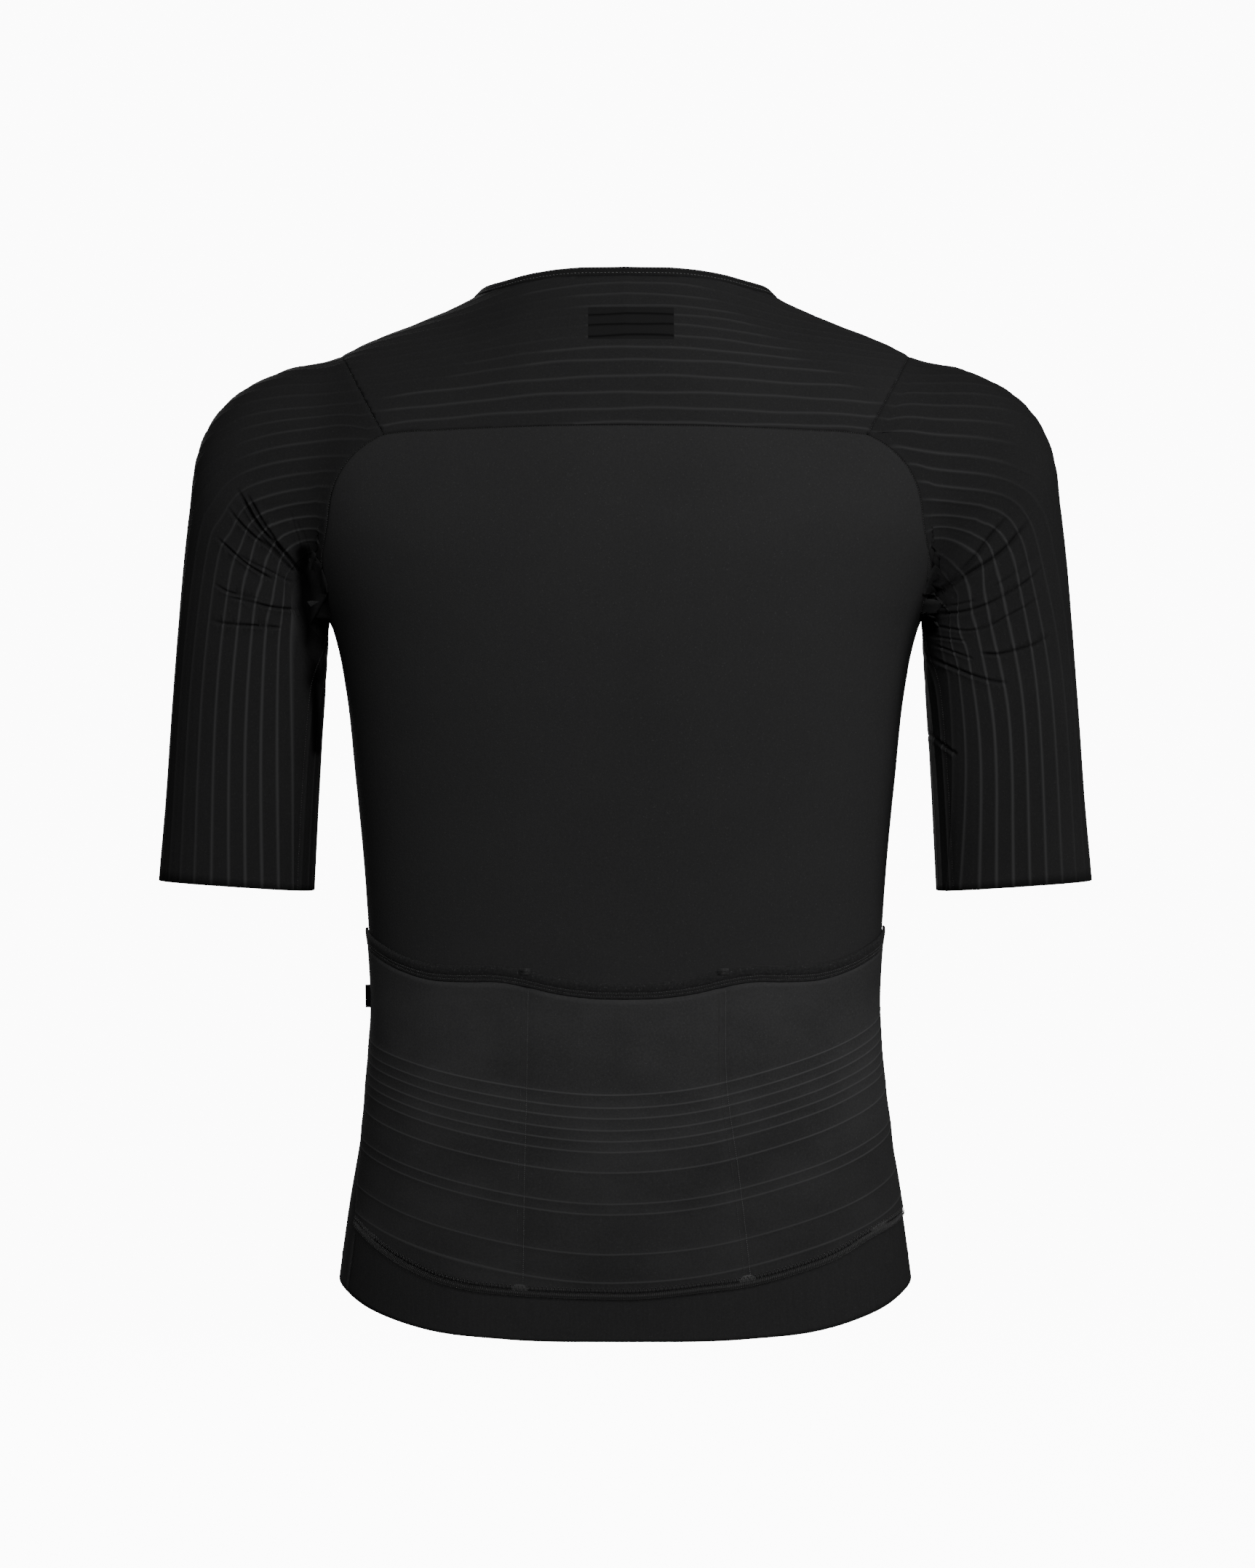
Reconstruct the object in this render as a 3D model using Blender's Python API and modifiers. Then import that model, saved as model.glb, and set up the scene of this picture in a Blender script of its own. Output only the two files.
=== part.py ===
"""Short-sleeved cycling jersey, size M, hollow and in the form it takes when worn.

X runs to the wearer's left, +Y to the wearer's back and +Z up. The origin lies between the shoulders, at the
height of the shoulder points. Tables and seams are in millimetres, and every mesh is made in metres.
The cut panels lie on one smooth figure form; each is an open surface with its own wall thickness.
"""

import math

import bmesh
import bpy
import numpy as np
from mathutils import Matrix, Vector
from mathutils.geometry import delaunay_2d_cdt

MM = 0.001

# Driving dimensions, in millimetres
CLOTH = 1.0  # wall of a cut panel
LEAN_MARGIN = 3.2  # how much further an edge is held back than its wall leans over it
MOST_FOLD, MOST_CORNER = 0.2, 0.3  # limits on holding back at sharp folds and corners
SEAM_GAP = 0.34  # between two panels, and between a panel and what lies on it
RIB_PITCH = 10.1
RIB_HEIGHT = 0.45  # above the cloth's outer face
RIB_FOOT = 1.5  # from a rib's crest to its foot
NECK_BAND = 8.0
NECK_BAND_LEAN = (45, 24)  # degrees that it leans in from upright at the back and at the zip
POCKET_BINDING = 9.8
BINDING_WALL = 1.5
ZIP_TAPE = 13.0
ZIP_TAPE_SHOWING = 4.0  # between the coil and the edge of a front panel
ZIP_COIL = 5.0
ZIP_COIL_DEPTH = 2.2
ZIP_COIL_SUNK = 0.7  # below the form
ZIP_TOP = -67.0  # height of the tapes' upper ends
ZIP_FOOT_MARGIN = 4.0  # from the zip's end to the hem
SLIDER_PLATE = (8.5, 11.0, 1.3)  # wide, high, thick
SLIDER_POST = (2.0, 2.0, 0.1)  # between the plates: wide, how far down it starts, how far down it stops
SLIDER_BACK = 3.25  # from the form in to the rear plate
CHEEK = (0.9, 3.0)  # each side of the pull: thick, high
PULL_BAR_RADIUS = 0.8
PULL_BAR_HEIGHT = 2.4  # of the bar above the slider's middle
PULL_EYE = (2.0, 1.15, 2.4)  # outer radius, bore radius, width
PULL_PLATE = (5.0, 22.0, 1.2)  # widest, long, thick
PULL_REST = 6.0  # degrees that the pull leans in towards the cloth
ZIP_EDGE = ZIP_COIL / 2 + ZIP_TAPE_SHOWING  # from the middle to the edge of a front panel

# How finely the panels are divided
BACK_COLUMNS = 18
SIDE_ROWS = (10, 1, 7, 2)  # above the pockets, at their binding, beside them and beside the gripper band
FRONT_SPACING = 22.0
FRONT_MM_A_DEGREE = 2.2
FRONT_HEM_POINTS = 14
FRONT_MARGIN = 10.0  # between an edge of a front panel and the points inside it
FRONT_PAST_ZIP = 7.3  # between the points along the zip and the ones beside them
YOKE_SPACING = 22.0
END_STRETCH = 1 / 3  # shortest end of a rib, in spacings
NECK_POINTS = (13, 10)  # each side, behind and in front of the yoke's end
YOKE_FRONT_POINTS = 10
ZIP_SECOND_ROW = -81.0
ZIP_ROWS = 20
SLEEVE_RIBS = 32

# Half widths and depths of the torso at each height
TORSO = (  # height, half width, back depth, front depth
    (60, 200, 122, 50),
    (0, 201, 122, 58),
    (-60, 203, 122, 76),
    (-90, 204, 120.5, 90),
    (-120, 204.5, 119.5, 104),
    (-150, 202, 120, 115),
    (-175, 193, 119.5, 121),
    (-190, 186.6, 119, 123),
    (-202, 181.4, 118.5, 124),
    (-215, 177.5, 117.5, 124),
    (-242, 172.4, 114.5, 122.5),
    (-296, 166.5, 106, 117),
    (-350, 161.3, 98, 110),
    (-395, 158.2, 92.5, 106),
    (-436, 156.2, 90, 105),
    (-476, 158.6, 91, 106),
    (-517, 163.4, 94, 108),
    (-557, 170.1, 98, 110),
    (-598, 175.8, 102, 112),
    (-650, 182, 106, 115),
)
TORSO_SQUARENESS = 2.3

# The upper arm's outer and inner lines seen from behind, and its depth
ARM = (  # height, outer line, inner line, half depth, middle depth
    (60, 252, 172, 52, 2),
    (-60, 260, 178, 55, 2),
    (-121, 266.8, 180.5, 53, 2),
    (-160, 271.3, 182, 50, 1),
    (-202, 275.2, 183.9, 47, 0),
    (-256, 279.7, 187.2, 45, -2),
    (-310, 283.7, 190.6, 43.5, -4),
    (-366, 288.9, 193.6, 42, -7),
    (-400, 291, 195.5, 41.5, -9),
)
ARM_SQUARENESS = 2.7

# The shoulder line from the neck out
SHOULDER = (  # distance from the middle, height
    (0, 41),
    (30, 37),
    (60, 23),
    (80, 9),
    (94, 0),
    (120.6, -12.4),
    (143.5, -21.4),
    (167.2, -29.5),
    (193, -37.5),
    (218.5, -48),
    (260, -66),
    (330, -96),
)
PROFILE_CENTRE = (8.0, 58.0)  # of the outline over a shoulder: behind the middle, below the shoulder line
PROFILE_TURN = (-62, 225)  # degrees that the outline covers, from the back up over the shoulder to the front
SHOULDER_RADIUS = 60.0  # from front to back
SHOULDER_SOFTNESS = 1.16  # evens out the slope over the shoulder
SHOULDER_BLEND = 36.0
ARMPIT_HEIGHT = -199.0
ARMPIT_BLEND = (2.0, 26.0, 70.0, 1.5)  # at the armpit, above it, over this height, and how late it grows
LEAST_SLOPE = 0.05  # of the form, squared, where points are moved onto it

# Seams round the left armhole, from the armpit up the back, over the shoulder and down the front
ARMHOLE_BACK = (  # x, y, z
    (183.1, 0, -199.2),
    (186.0, 17, -190),
    (187.6, 34, -179),
    (186.0, 48, -168),
    (182.0, 57, -158.5),
    (178.0, 64, -144.4),
    (176.9, 67, -132),
    (172.4, 69, -119),
    (164.7, 72, -106.8),
    (152.5, 77, -96.0),
    (144.5, 80.5, -91.5),
)
ARMHOLE_FRONT = (
    (144.5, 80.5, -91.5),
    (151.5, 71, -78.6),
    (158.7, 60, -65.4),
    (166.3, 44, -51.5),
    (173.5, 22, -38),
    (176.0, 2, -33.5),
    (173.5, -20, -38),
    (166.0, -42, -52),
    (160.5, -57, -72),
    (160.0, -65, -92),
    (166.0, -67, -110),
    (173.0, -66, -125),
    (177.5, -63.5, -141),
    (182.0, -57, -156),
    (186.0, -47, -167.5),
    (187.6, -34, -179),
    (186.0, -17, -190),
    (183.1, 0, -199.2),
)
SIDE_SEAM_TOP = (182.0, 57, -158.5)
RIDGE_SEAM = (176.0, 2, -33.5)
YOKE_FRONT_CORNER = (166.0, -42, -52)

# Seams across the body: heights at each angle from the wearer's side, 90 being the middle of the back
YOKE_SEAM = ((0, -89.1), (60, -89.4), (110, -90.0), (132, -90.4), (144.5, -91.5))  # x, height
POCKET_TOP = (  # angle, height
    (0, -386), (14.7, -396.9), (21.7, -402.8), (29, -407.4), (39.3, -408.5), (46.8, -408.2),
    (55, -410.6), (63, -414.2), (77, -417.6), (90, -418.2),
)
HEM_SEAM = (
    (0, -556), (8, -560), (14, -566), (23, -574.5), (31.5, -584.5), (42.4, -592.2), (53, -597), (65, -599.4),
    (90, -600.8),
)
HEM_EDGE = (
    (-90, -560), (-60, -566), (-30, -583), (-10, -597), (0, -602), (11.8, -608), (21.9, -616.5),
    (36.7, -625.4), (53, -628.3), (90, -629.2),
)
SIDE_SEAM = (  # height, depth behind the middle on the left and on the right
    (-158.5, 57, 57),
    (-176, 45, 45),
    (-192, 34, 34),
    (-207, 21, 21),
    (-230, 11, 10),
    (-300, 8, 6),
    (-420, 8, 4),
    (-480, 10, 4),
    (-532, 27, 10),
    (-576, 38, 18),
    (-610, 39, 22),
    (-630, 39, 22),
)
SIDE_STOPS = ((POCKET_TOP, 0.0), (POCKET_TOP, POCKET_BINDING), (HEM_SEAM, 0.0), (HEM_EDGE, 0.0))
NECK_SEAM = (  # x, y, z, from the middle of the back to the middle of the front
    (0, 66.0, 5.0),
    (24, 63.5, 4.8),
    (48, 56.0, 4.0),
    (70, 43.0, 2.6),
    (86, 24.0, 1.0),
    (94.2, 0.0, -0.8),
    (93.0, -22.0, -9.0),
    (83.0, -42.0, -27.0),
    (64.0, -60.0, -48.0),
    (36.0, -75.5, -66.0),
    (0.0, -83.0, -74.0),
)
YOKE_FRONT_SEAM_AT_NECK = (91.0, -29.0, -14.0)

# Rings of the left sleeve between the armhole and the cuff
SLEEVE_RINGS = (  # outer x, outer z, inner x, inner z, half depth, middle depth, share of the armhole's shape
    (176, -34, 183.1, -199.2, 62, 4, 1.0),
    (207, -44.5, 184.6, -211, 58.5, 3, 0.55),
    (237, -60, 185.4, -219, 55.5, 2, 0.22),
    (254.5, -79, 186, -227, 53.5, 2, 0.05),
    (263, -103, 186.3, -237, 52, 1, 0),
    (268, -135, 187.2, -254, 49, 0, 0),
    (277, -226, 190, -300, 45.2, -2.5, 0),
    (288.4, -359.5, 193.6, -366, 42, -7, 0),
)
UNDERARM_SEAM_TURN = 37.0  # degrees that the underarm seam turns to the back by the cuff
SLEEVE_FIRST_ROW = 8.0  # from the armhole seam
SEAM_TO_FIRST_RIB = 6.5
UNDERARM_START = -SEAM_TO_FIRST_RIB / RIB_PITCH  # the underarm seam's place, counted in ribs
CUFF_ROUND = 303.0  # once round the cuff
BACK_RIBS = 12  # ribs at the full pitch, seen from behind at the cuff
RIBS_AT_ARMHOLE = (2.0, 9.45, 18.5)  # ribs that meet the side seam, the yoke's corner and the shoulder line

TAB = (3.6, 1.6, 14.0)  # folded tab in the left side seam: out, across, high
TAB_HEIGHT = -430.0
TAB_STANDS_OFF = 0.7  # from the form, so that its flat end clears the panel

COLOURS = {  # base colour, roughness
    "body": ((0.0165, 0.0165, 0.0168), 0.82),
    "rib": ((0.0125, 0.0125, 0.0128), 0.8),
    "pocket": ((0.021, 0.021, 0.0215), 0.78),
    "elastic": ((0.012, 0.012, 0.0122), 0.7),
    "tape": ((0.01, 0.01, 0.01), 0.75),
    "coil": ((0.008, 0.008, 0.008), 0.5),
    "slider": ((0.02, 0.02, 0.02), 0.4),
}


def read_table(table, column, at):
    """Reads a column at any value of the first column, on a smooth curve through the rows."""
    rows = np.array(sorted(table), float)
    keys, values = rows[:, 0], rows[:, column]
    at = np.clip(at, keys[0], keys[-1])
    steps = np.diff(keys)
    rises = np.diff(values) / steps
    inner = (rises[1:] * steps[:-1] + rises[:-1] * steps[1:]) / (steps[1:] + steps[:-1])
    slopes = np.concatenate([rises[:1], inner, rises[-1:]])
    i = np.clip(np.searchsorted(keys, at) - 1, 0, len(keys) - 2)
    t = (at - keys[i]) / steps[i]
    start = values[i] * (1 + 2 * t) + steps[i] * slopes[i] * t
    end = values[i + 1] * (3 - 2 * t) - steps[i] * slopes[i + 1] * (1 - t)
    return start * (1 - t) ** 2 + end * t * t


def oval(across, deep, half_width, half_depth, squareness):
    """Roughly the distance outside an oval, below zero inside it."""
    reach = np.abs(across / half_width) ** squareness + np.abs(deep / half_depth) ** squareness
    return (reach ** (1 / squareness) - 1) * np.minimum(half_width, half_depth)


def soft_min(a, b, blend):
    near = np.clip(blend - np.abs(a - b), 0, None)
    return np.minimum(a, b) - near * near / (4 * blend)


def form(points):
    """Below zero inside the figure that fills the jersey: torso and upper arms under sloping shoulders."""
    x, y, z = np.abs(points[..., 0]), points[..., 1], points[..., 2]
    depth = np.where(y > 0, read_table(TORSO, 2, z), read_table(TORSO, 3, z))
    torso = oval(x, y, read_table(TORSO, 1, z), depth, TORSO_SQUARENESS)
    outer, inner, half_depth, middle = (read_table(ARM, column, z) for column in (1, 2, 3, 4))
    arm = oval(x - (outer + inner) / 2, y - middle, (outer - inner) / 2, half_depth, ARM_SQUARENESS)
    at_pit, above, over, power = ARMPIT_BLEND
    blend = at_pit + (above - at_pit) * np.clip((z - ARMPIT_HEIGHT) / over, 0, 1) ** power
    body = soft_min(torso, arm, blend)
    top = z - read_table(SHOULDER, 1, x) + y * y / (2 * SHOULDER_RADIUS)
    top = top / np.sqrt(SHOULDER_SOFTNESS + (y / SHOULDER_RADIUS) ** 2)
    return -soft_min(-body, -top, SHOULDER_BLEND)


def slope(points, step=0.25):
    """The form's gradient, which points out of it."""
    found = np.empty_like(points)
    for axis in range(3):
        move = np.zeros(3)
        move[axis] = step
        found[..., axis] = (form(points + move) - form(points - move)) / (2 * step)
    return found


def outward(points):
    found = slope(points)
    return found / np.linalg.norm(found, axis=-1, keepdims=True)


def on_form(points):
    """Moves points straight onto the form."""
    points = np.array(points, float)
    for _ in range(12):
        rise = slope(points)
        size = np.maximum((rise * rise).sum(-1, keepdims=True), LEAST_SLOPE)
        points = points - form(points)[..., None] * rise / size
    return points


def cast(starts, directions, reach=300.0):
    """Follows rays from inside the form to where they first leave it."""
    starts, directions = np.broadcast_arrays(np.array(starts, float), np.array(directions, float))
    steps = np.arange(0.0, reach, 2.0)
    outside = form(starts[..., None, :] + directions[..., None, :] * steps[:, None]) > 0
    far = steps[np.argmax(outside, axis=-1)]
    near = far - 2.0
    for _ in range(18):
        half = (near + far) / 2
        out = form(starts + directions * half[..., None]) > 0
        far, near = np.where(out, half, far), np.where(out, near, half)
    return starts + directions * far[..., None]


def around(angle, height):
    """The place on the form at an angle in degrees from the wearer's left towards the back, and a height."""
    turn, height = np.broadcast_arrays(np.radians(angle), np.array(height, float))
    level = np.zeros_like(height)
    return cast(np.stack([level, level, height], -1), np.stack([np.cos(turn), np.sin(turn), level], -1))


def facing(x, height, way):
    """The place on the form's back (way 1) or front (way -1) at a distance from the middle and a height."""
    x, height = np.broadcast_arrays(np.array(x, float), np.array(height, float))
    level = np.zeros_like(height)
    return cast(np.stack([x, level, height], -1), (0.0, float(way), 0.0))


def lengths_along(line):
    return np.concatenate([[0], np.cumsum(np.linalg.norm(np.diff(line, axis=0), axis=1))])


def at_lengths(line, wanted):
    done = lengths_along(line)
    return np.stack([np.interp(wanted, done, line[:, axis]) for axis in range(3)], -1)


def evenly(line, count):
    """The line again as count equal stretches."""
    return at_lengths(line, np.linspace(0, lengths_along(line)[-1], count + 1))


def smooth_line(points, dense=40):
    """A close smooth line on the form, through points near it."""
    points = np.array(points, float)
    keys = lengths_along(points)
    rows = [(key, *point) for key, point in zip(keys, points)]
    at = np.linspace(0, keys[-1], dense * (len(points) - 1) + 1)
    return on_form(np.stack([read_table(rows, axis + 1, at) for axis in range(3)], -1))


def length_to(line, point):
    nearest = np.argmin(np.linalg.norm(line - np.array(point, float), axis=1))
    return lengths_along(line)[nearest]


def stretch(line, start, end, count):
    return at_lengths(line, np.linspace(start, end, count + 1))


def mirrored(points, side):
    return points * np.array([side, 1, 1])


# Objects


def material(name):
    found = bpy.data.materials.get(name)
    if found:
        return found
    colour, roughness = COLOURS[name]
    found = bpy.data.materials.new(name)
    found.use_nodes = True
    surface = found.node_tree.nodes["Principled BSDF"]
    surface.inputs["Base Color"].default_value = (*colour, 1)
    surface.inputs["Roughness"].default_value = roughness
    surface.inputs["Metallic"].default_value = 0.0
    return found


def add_object(name, mesh, collection, finish):
    mesh.materials.append(material(finish))
    obj = bpy.data.objects.new(name, mesh)
    collection.objects.link(obj)
    return obj


def hold_back(bm, distance, wall):
    """Moves a panel's free edge into the panel, square to the edge, and further where its wall leans over."""
    moves = {}
    for edge in bm.edges:
        if not edge.is_boundary:
            continue
        face = edge.link_faces[0]
        a, b = edge.verts
        inward = face.normal.cross(b.co - a.co).normalized()
        if inward.dot(face.calc_center_median() - a.co) < 0:
            inward = -inward
        for vert in (a, b):
            moves.setdefault(vert, []).append(inward)
    verts = [vert for vert, found in moves.items() if len(found) == 2]
    square_to_form = outward(np.array([tuple(vert.co / MM) for vert in verts]))
    for vert, normal in zip(verts, square_to_form):
        first, second = moves[vert]
        normal = Vector(normal)
        into = first + second
        into_form = (into - normal * into.dot(normal)).normalized()
        lean = max(vert.normal.dot(into_form), 0)
        fold = max(into.normalized().dot(into_form), MOST_FOLD)
        corner = max(1 + first.dot(second), MOST_CORNER)
        vert.co += into * ((distance + LEAN_MARGIN * wall * lean) / (fold * corner))


def cloth_object(name, points, faces, collection, finish, wall=CLOTH, raised=None, gap=SEAM_GAP):
    """A panel whose outer face is the given surface. Raised points stand out of it over a plain inside."""
    raised = np.zeros(len(points)) if raised is None else raised
    bm = bmesh.new()
    verts = [bm.verts.new(Vector(point) * MM) for point in points]
    for face in faces:
        bm.faces.new([verts[i] for i in face])
    bmesh.ops.recalc_face_normals(bm, faces=bm.faces)
    centres = np.array([tuple(face.calc_center_median()) for face in bm.faces]) / MM
    normals = np.array([tuple(face.normal) for face in bm.faces])
    if (normals * outward(centres)).sum() < 0:
        bmesh.ops.reverse_faces(bm, faces=bm.faces)
    bm.normal_update()
    if gap:
        hold_back(bm, gap / 2 * MM, wall * MM)
        bm.normal_update()
    bm.verts.index_update()
    for vert, rise in zip(bm.verts, raised):
        vert.co += vert.normal * (rise * MM)
    mesh = bpy.data.meshes.new(name)
    bm.to_mesh(mesh)
    bm.free()
    obj = add_object(name, mesh, collection, finish)
    highest = wall + max(raised)
    group = obj.vertex_groups.new(name="wall")
    for index, rise in enumerate(raised):
        group.add([index], (wall + rise) / highest, "REPLACE")
    shell = obj.modifiers.new("Wall", "SOLIDIFY")
    shell.thickness = highest * MM
    shell.offset = -1
    shell.vertex_group = "wall"
    shell.use_even_offset = False
    mesh.shade_smooth()
    mesh.set_sharp_from_angle(angle=math.radians(40))
    return obj


def grid_faces(rows, columns, closed=False):
    """Quads of a grid of points kept row after row; a closed one joins its last column to its first."""
    faces = []
    for row in range(rows - 1):
        for column in range(columns if closed else columns - 1):
            here, beside = row * columns + column, row * columns + (column + 1) % columns
            faces.append((here, beside, beside + columns, here + columns))
    return faces


# Seams


def armhole_seam():
    """The whole left armhole as one close line, and the lengths along it of its named places."""
    back, front = smooth_line(ARMHOLE_BACK), smooth_line(ARMHOLE_FRONT)
    line = np.concatenate([back, front[1:]])
    return line, {
        "side": length_to(line, on_form(np.array(SIDE_SEAM_TOP))),
        "yoke_back": lengths_along(back)[-1],
        "ridge": length_to(line, on_form(np.array(RIDGE_SEAM))),
        "yoke_front": length_to(line, on_form(np.array(YOKE_FRONT_CORNER))),
        "end": lengths_along(line)[-1],
    }


def rib_columns():
    """Places round the sleeve, counted in ribs from the underarm seam, and their rises: each rib's foot, crest
    and other foot."""
    foot = RIB_FOOT / RIB_PITCH
    across = ((-foot, 0.0), (0, RIB_HEIGHT), (foot, 0.0))
    return [(rib + move, rise) for rib in range(SLEEVE_RIBS) for move, rise in across]


def armhole_loop(armhole, places):
    """The left sleeve's columns at its armhole, their lengths round it, the indexes of the ones that the panels
    share, and those of the corners. The armhole runs straight between the shared ones."""
    ribs = np.array([place for place, _ in rib_columns()])
    at_side, at_corner, at_ridge = RIBS_AT_ARMHOLE
    known = (UNDERARM_START, at_side, at_corner, at_ridge, UNDERARM_START + SLEEVE_RIBS)
    at = np.interp(ribs, known, (0, places["side"], places["yoke_back"], places["ridge"], places["end"]))
    corners = {}
    for name in ("side", "yoke_back", "yoke_front"):
        corners[name] = int(np.argmin(np.abs(at - places[name])))
        at[corners[name]] = places[name]
    columns = len(ribs)
    shared = [i for i in range(1, columns, 3) if all(abs(i - corner) > 1 for corner in corners.values())]
    shared = sorted(shared + list(corners.values()))
    loop = at_lengths(armhole, at)
    for a, b in zip(shared, shared[1:] + [shared[0] + columns]):
        span = at[b % columns] + (places["end"] if b >= columns else 0) - at[a]
        for between in range(a + 1, b):
            i = between % columns
            share = (at[i] + (places["end"] if between >= columns else 0) - at[a]) / span
            loop[i] = (1 - share) * loop[a] + share * loop[b % columns]
    return loop, at, shared, corners


def loop_part(loop, shared, start, end):
    """The points that the panels share from one column to another, going on past the last to the first."""
    columns = len(loop)
    ahead = sorted((i - start) % columns for i in shared)
    span = (end - start) % columns
    return loop[[(start + step) % columns for step in ahead if step <= span]]


def side_seam(side):
    """From the armhole to below the hem, on the left (1) or the right (-1)."""
    heights = np.linspace(SIDE_SEAM[0][0], SIDE_SEAM[-1][0], 200)
    depth = read_table(SIDE_SEAM, 1 if side > 0 else 2, heights)
    angles = np.degrees(np.arctan2(depth, read_table(TORSO, 1, heights)))
    for _ in range(5):
        points = around(angles, heights)
        angles = np.degrees(np.arctan2(depth, points[:, 0]))
    points[0] = on_form(np.array(SIDE_SEAM_TOP))
    return mirrored(points, side)


def angles_of(points):
    """Degrees from the nearer side of the wearer towards the back."""
    return np.degrees(np.arctan2(points[..., 1], np.abs(points[..., 0])))


def length_at(line, table, lower=0.0):
    """How far down a side seam a seam across the body meets it."""
    over = line[:, 2] - read_table(table, 1, angles_of(line)) + lower
    return np.interp(0, -over, lengths_along(line))


def side_stations(line):
    """The points of a side seam that the panels on both sides of it share."""
    stops = [0.0] + [length_at(line, *where) for where in SIDE_STOPS]
    parts = [stretch(line, a, b, count) for a, b, count in zip(stops[:-1], stops[1:], SIDE_ROWS)]
    return np.concatenate([parts[0]] + [part[1:] for part in parts[1:]])


def across_back(table, seams, lower=0.0, columns=BACK_COLUMNS):
    """A line across the back from the left side seam to the right one, in equal stretches."""
    ends = [at_lengths(seams[side], np.array([length_at(seams[side], table, lower)]))[0] for side in (1, -1)]
    left, right = angles_of(ends[0]), 180 - angles_of(ends[1])
    angles = np.linspace(left, right, 181)
    heights = read_table(table, 1, np.where(angles > 90, 180 - angles, angles)) - lower
    line = evenly(around(angles, heights), columns)
    line[0], line[-1] = ends
    return line


def patch(top, bottom, left, right):
    """Fills four lines that meet at their ends with a grid on the form."""
    s = np.linspace(0, 1, len(top))[None, :, None]
    t = np.linspace(0, 1, len(left))[:, None, None]
    ruled = (1 - t) * top[None] + t * bottom[None] + (1 - s) * left[:, None] + s * right[:, None]
    corners = (1 - t) * ((1 - s) * top[0] + s * top[-1]) + t * ((1 - s) * bottom[0] + s * bottom[-1])
    grid = on_form(ruled - corners)
    grid[0], grid[-1], grid[:, 0], grid[:, -1] = top, bottom, left, right
    return grid


def flat_panel(outline, flat, ribs, inside, to_form):
    """Triangulates a panel in its flat pattern: an outline, rib lines across it and points inside it.

    outline and flat hold the same points on the form and in the flat pattern. ribs lists the height, rise and
    spacing of level lines in the pattern. to_form takes flat points to the form.
    """
    solid, plan = [tuple(point) for point in outline], [tuple(point) for point in flat]
    raised = [0.0] * len(plan)
    order = [[(0.0, i)] for i in range(len(plan))]
    lines = []
    for height, rise, spacing in ribs:
        ends = []
        for i in range(len(flat)):
            a, b = flat[i], flat[(i + 1) % len(flat)]
            if (a[1] - height) * (b[1] - height) < 0:
                share = (height - a[1]) / (b[1] - a[1])
                order[i].append((share, len(plan)))
                ends.append((a[0] + share * (b[0] - a[0]), len(plan)))
                plan.append((ends[-1][0], height))
                solid.append(tuple(outline[i] + share * (outline[(i + 1) % len(flat)] - outline[i])))
                raised.append(rise)
        ends.sort()
        for (x_a, a), (x_b, b) in zip(ends[::2], ends[1::2]):
            low = math.ceil(x_a / spacing + END_STRETCH)
            high = math.floor(x_b / spacing - END_STRETCH)
            stations = [k * spacing for k in range(low, high + 1)]
            chain = [a]
            for x in stations:
                chain.append(len(plan))
                plan.append((x, height))
                solid.append(None)
                raised.append(rise)
            chain.append(b)
            lines += list(zip(chain[:-1], chain[1:]))
    for point in inside:
        plan.append(tuple(point))
        solid.append(None)
        raised.append(0.0)
    loop = [index for stops in order for _, index in sorted(stops)]
    found = delaunay_2d_cdt([Vector(point) for point in plan], lines, [loop], 1, 1e-5)
    points, faces, sources = found[0], found[2], found[3]
    flat_points = np.array([tuple(point) for point in points])
    placed = to_form(flat_points)
    rises = np.zeros(len(points))
    for index, source in enumerate(sources):
        if source and solid[source[0]] is not None:
            placed[index] = solid[source[0]]
        if source:
            rises[index] = raised[source[0]]
    return placed, faces, rises


def grid_inside(flat, step, margin):
    """Points of an even grid that lie inside a flat outline, at least margin from its edge."""
    start, end = flat, np.roll(flat, -1, axis=0)
    edge = end - start
    level = np.where(edge[:, 1] == 0, 1.0, edge[:, 1])
    low, high = flat.min(0), flat.max(0)
    found = []
    for y in np.arange(low[1] + step / 2, high[1], step):
        for x in np.arange(low[0] + step / 2, high[0], step):
            to_point = np.array([x, y]) - start
            spans = (start[:, 1] > y) != (end[:, 1] > y)
            crosses = spans & (to_point[:, 0] < to_point[:, 1] * edge[:, 0] / level)
            share = np.clip((to_point * edge).sum(1) / (edge**2).sum(1), 0, 1)[:, None]
            away = np.linalg.norm(to_point - share * edge, axis=1).min()
            if crosses.sum() % 2 and away > margin:
                found.append((x, y))
    return found


# Pieces


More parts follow.
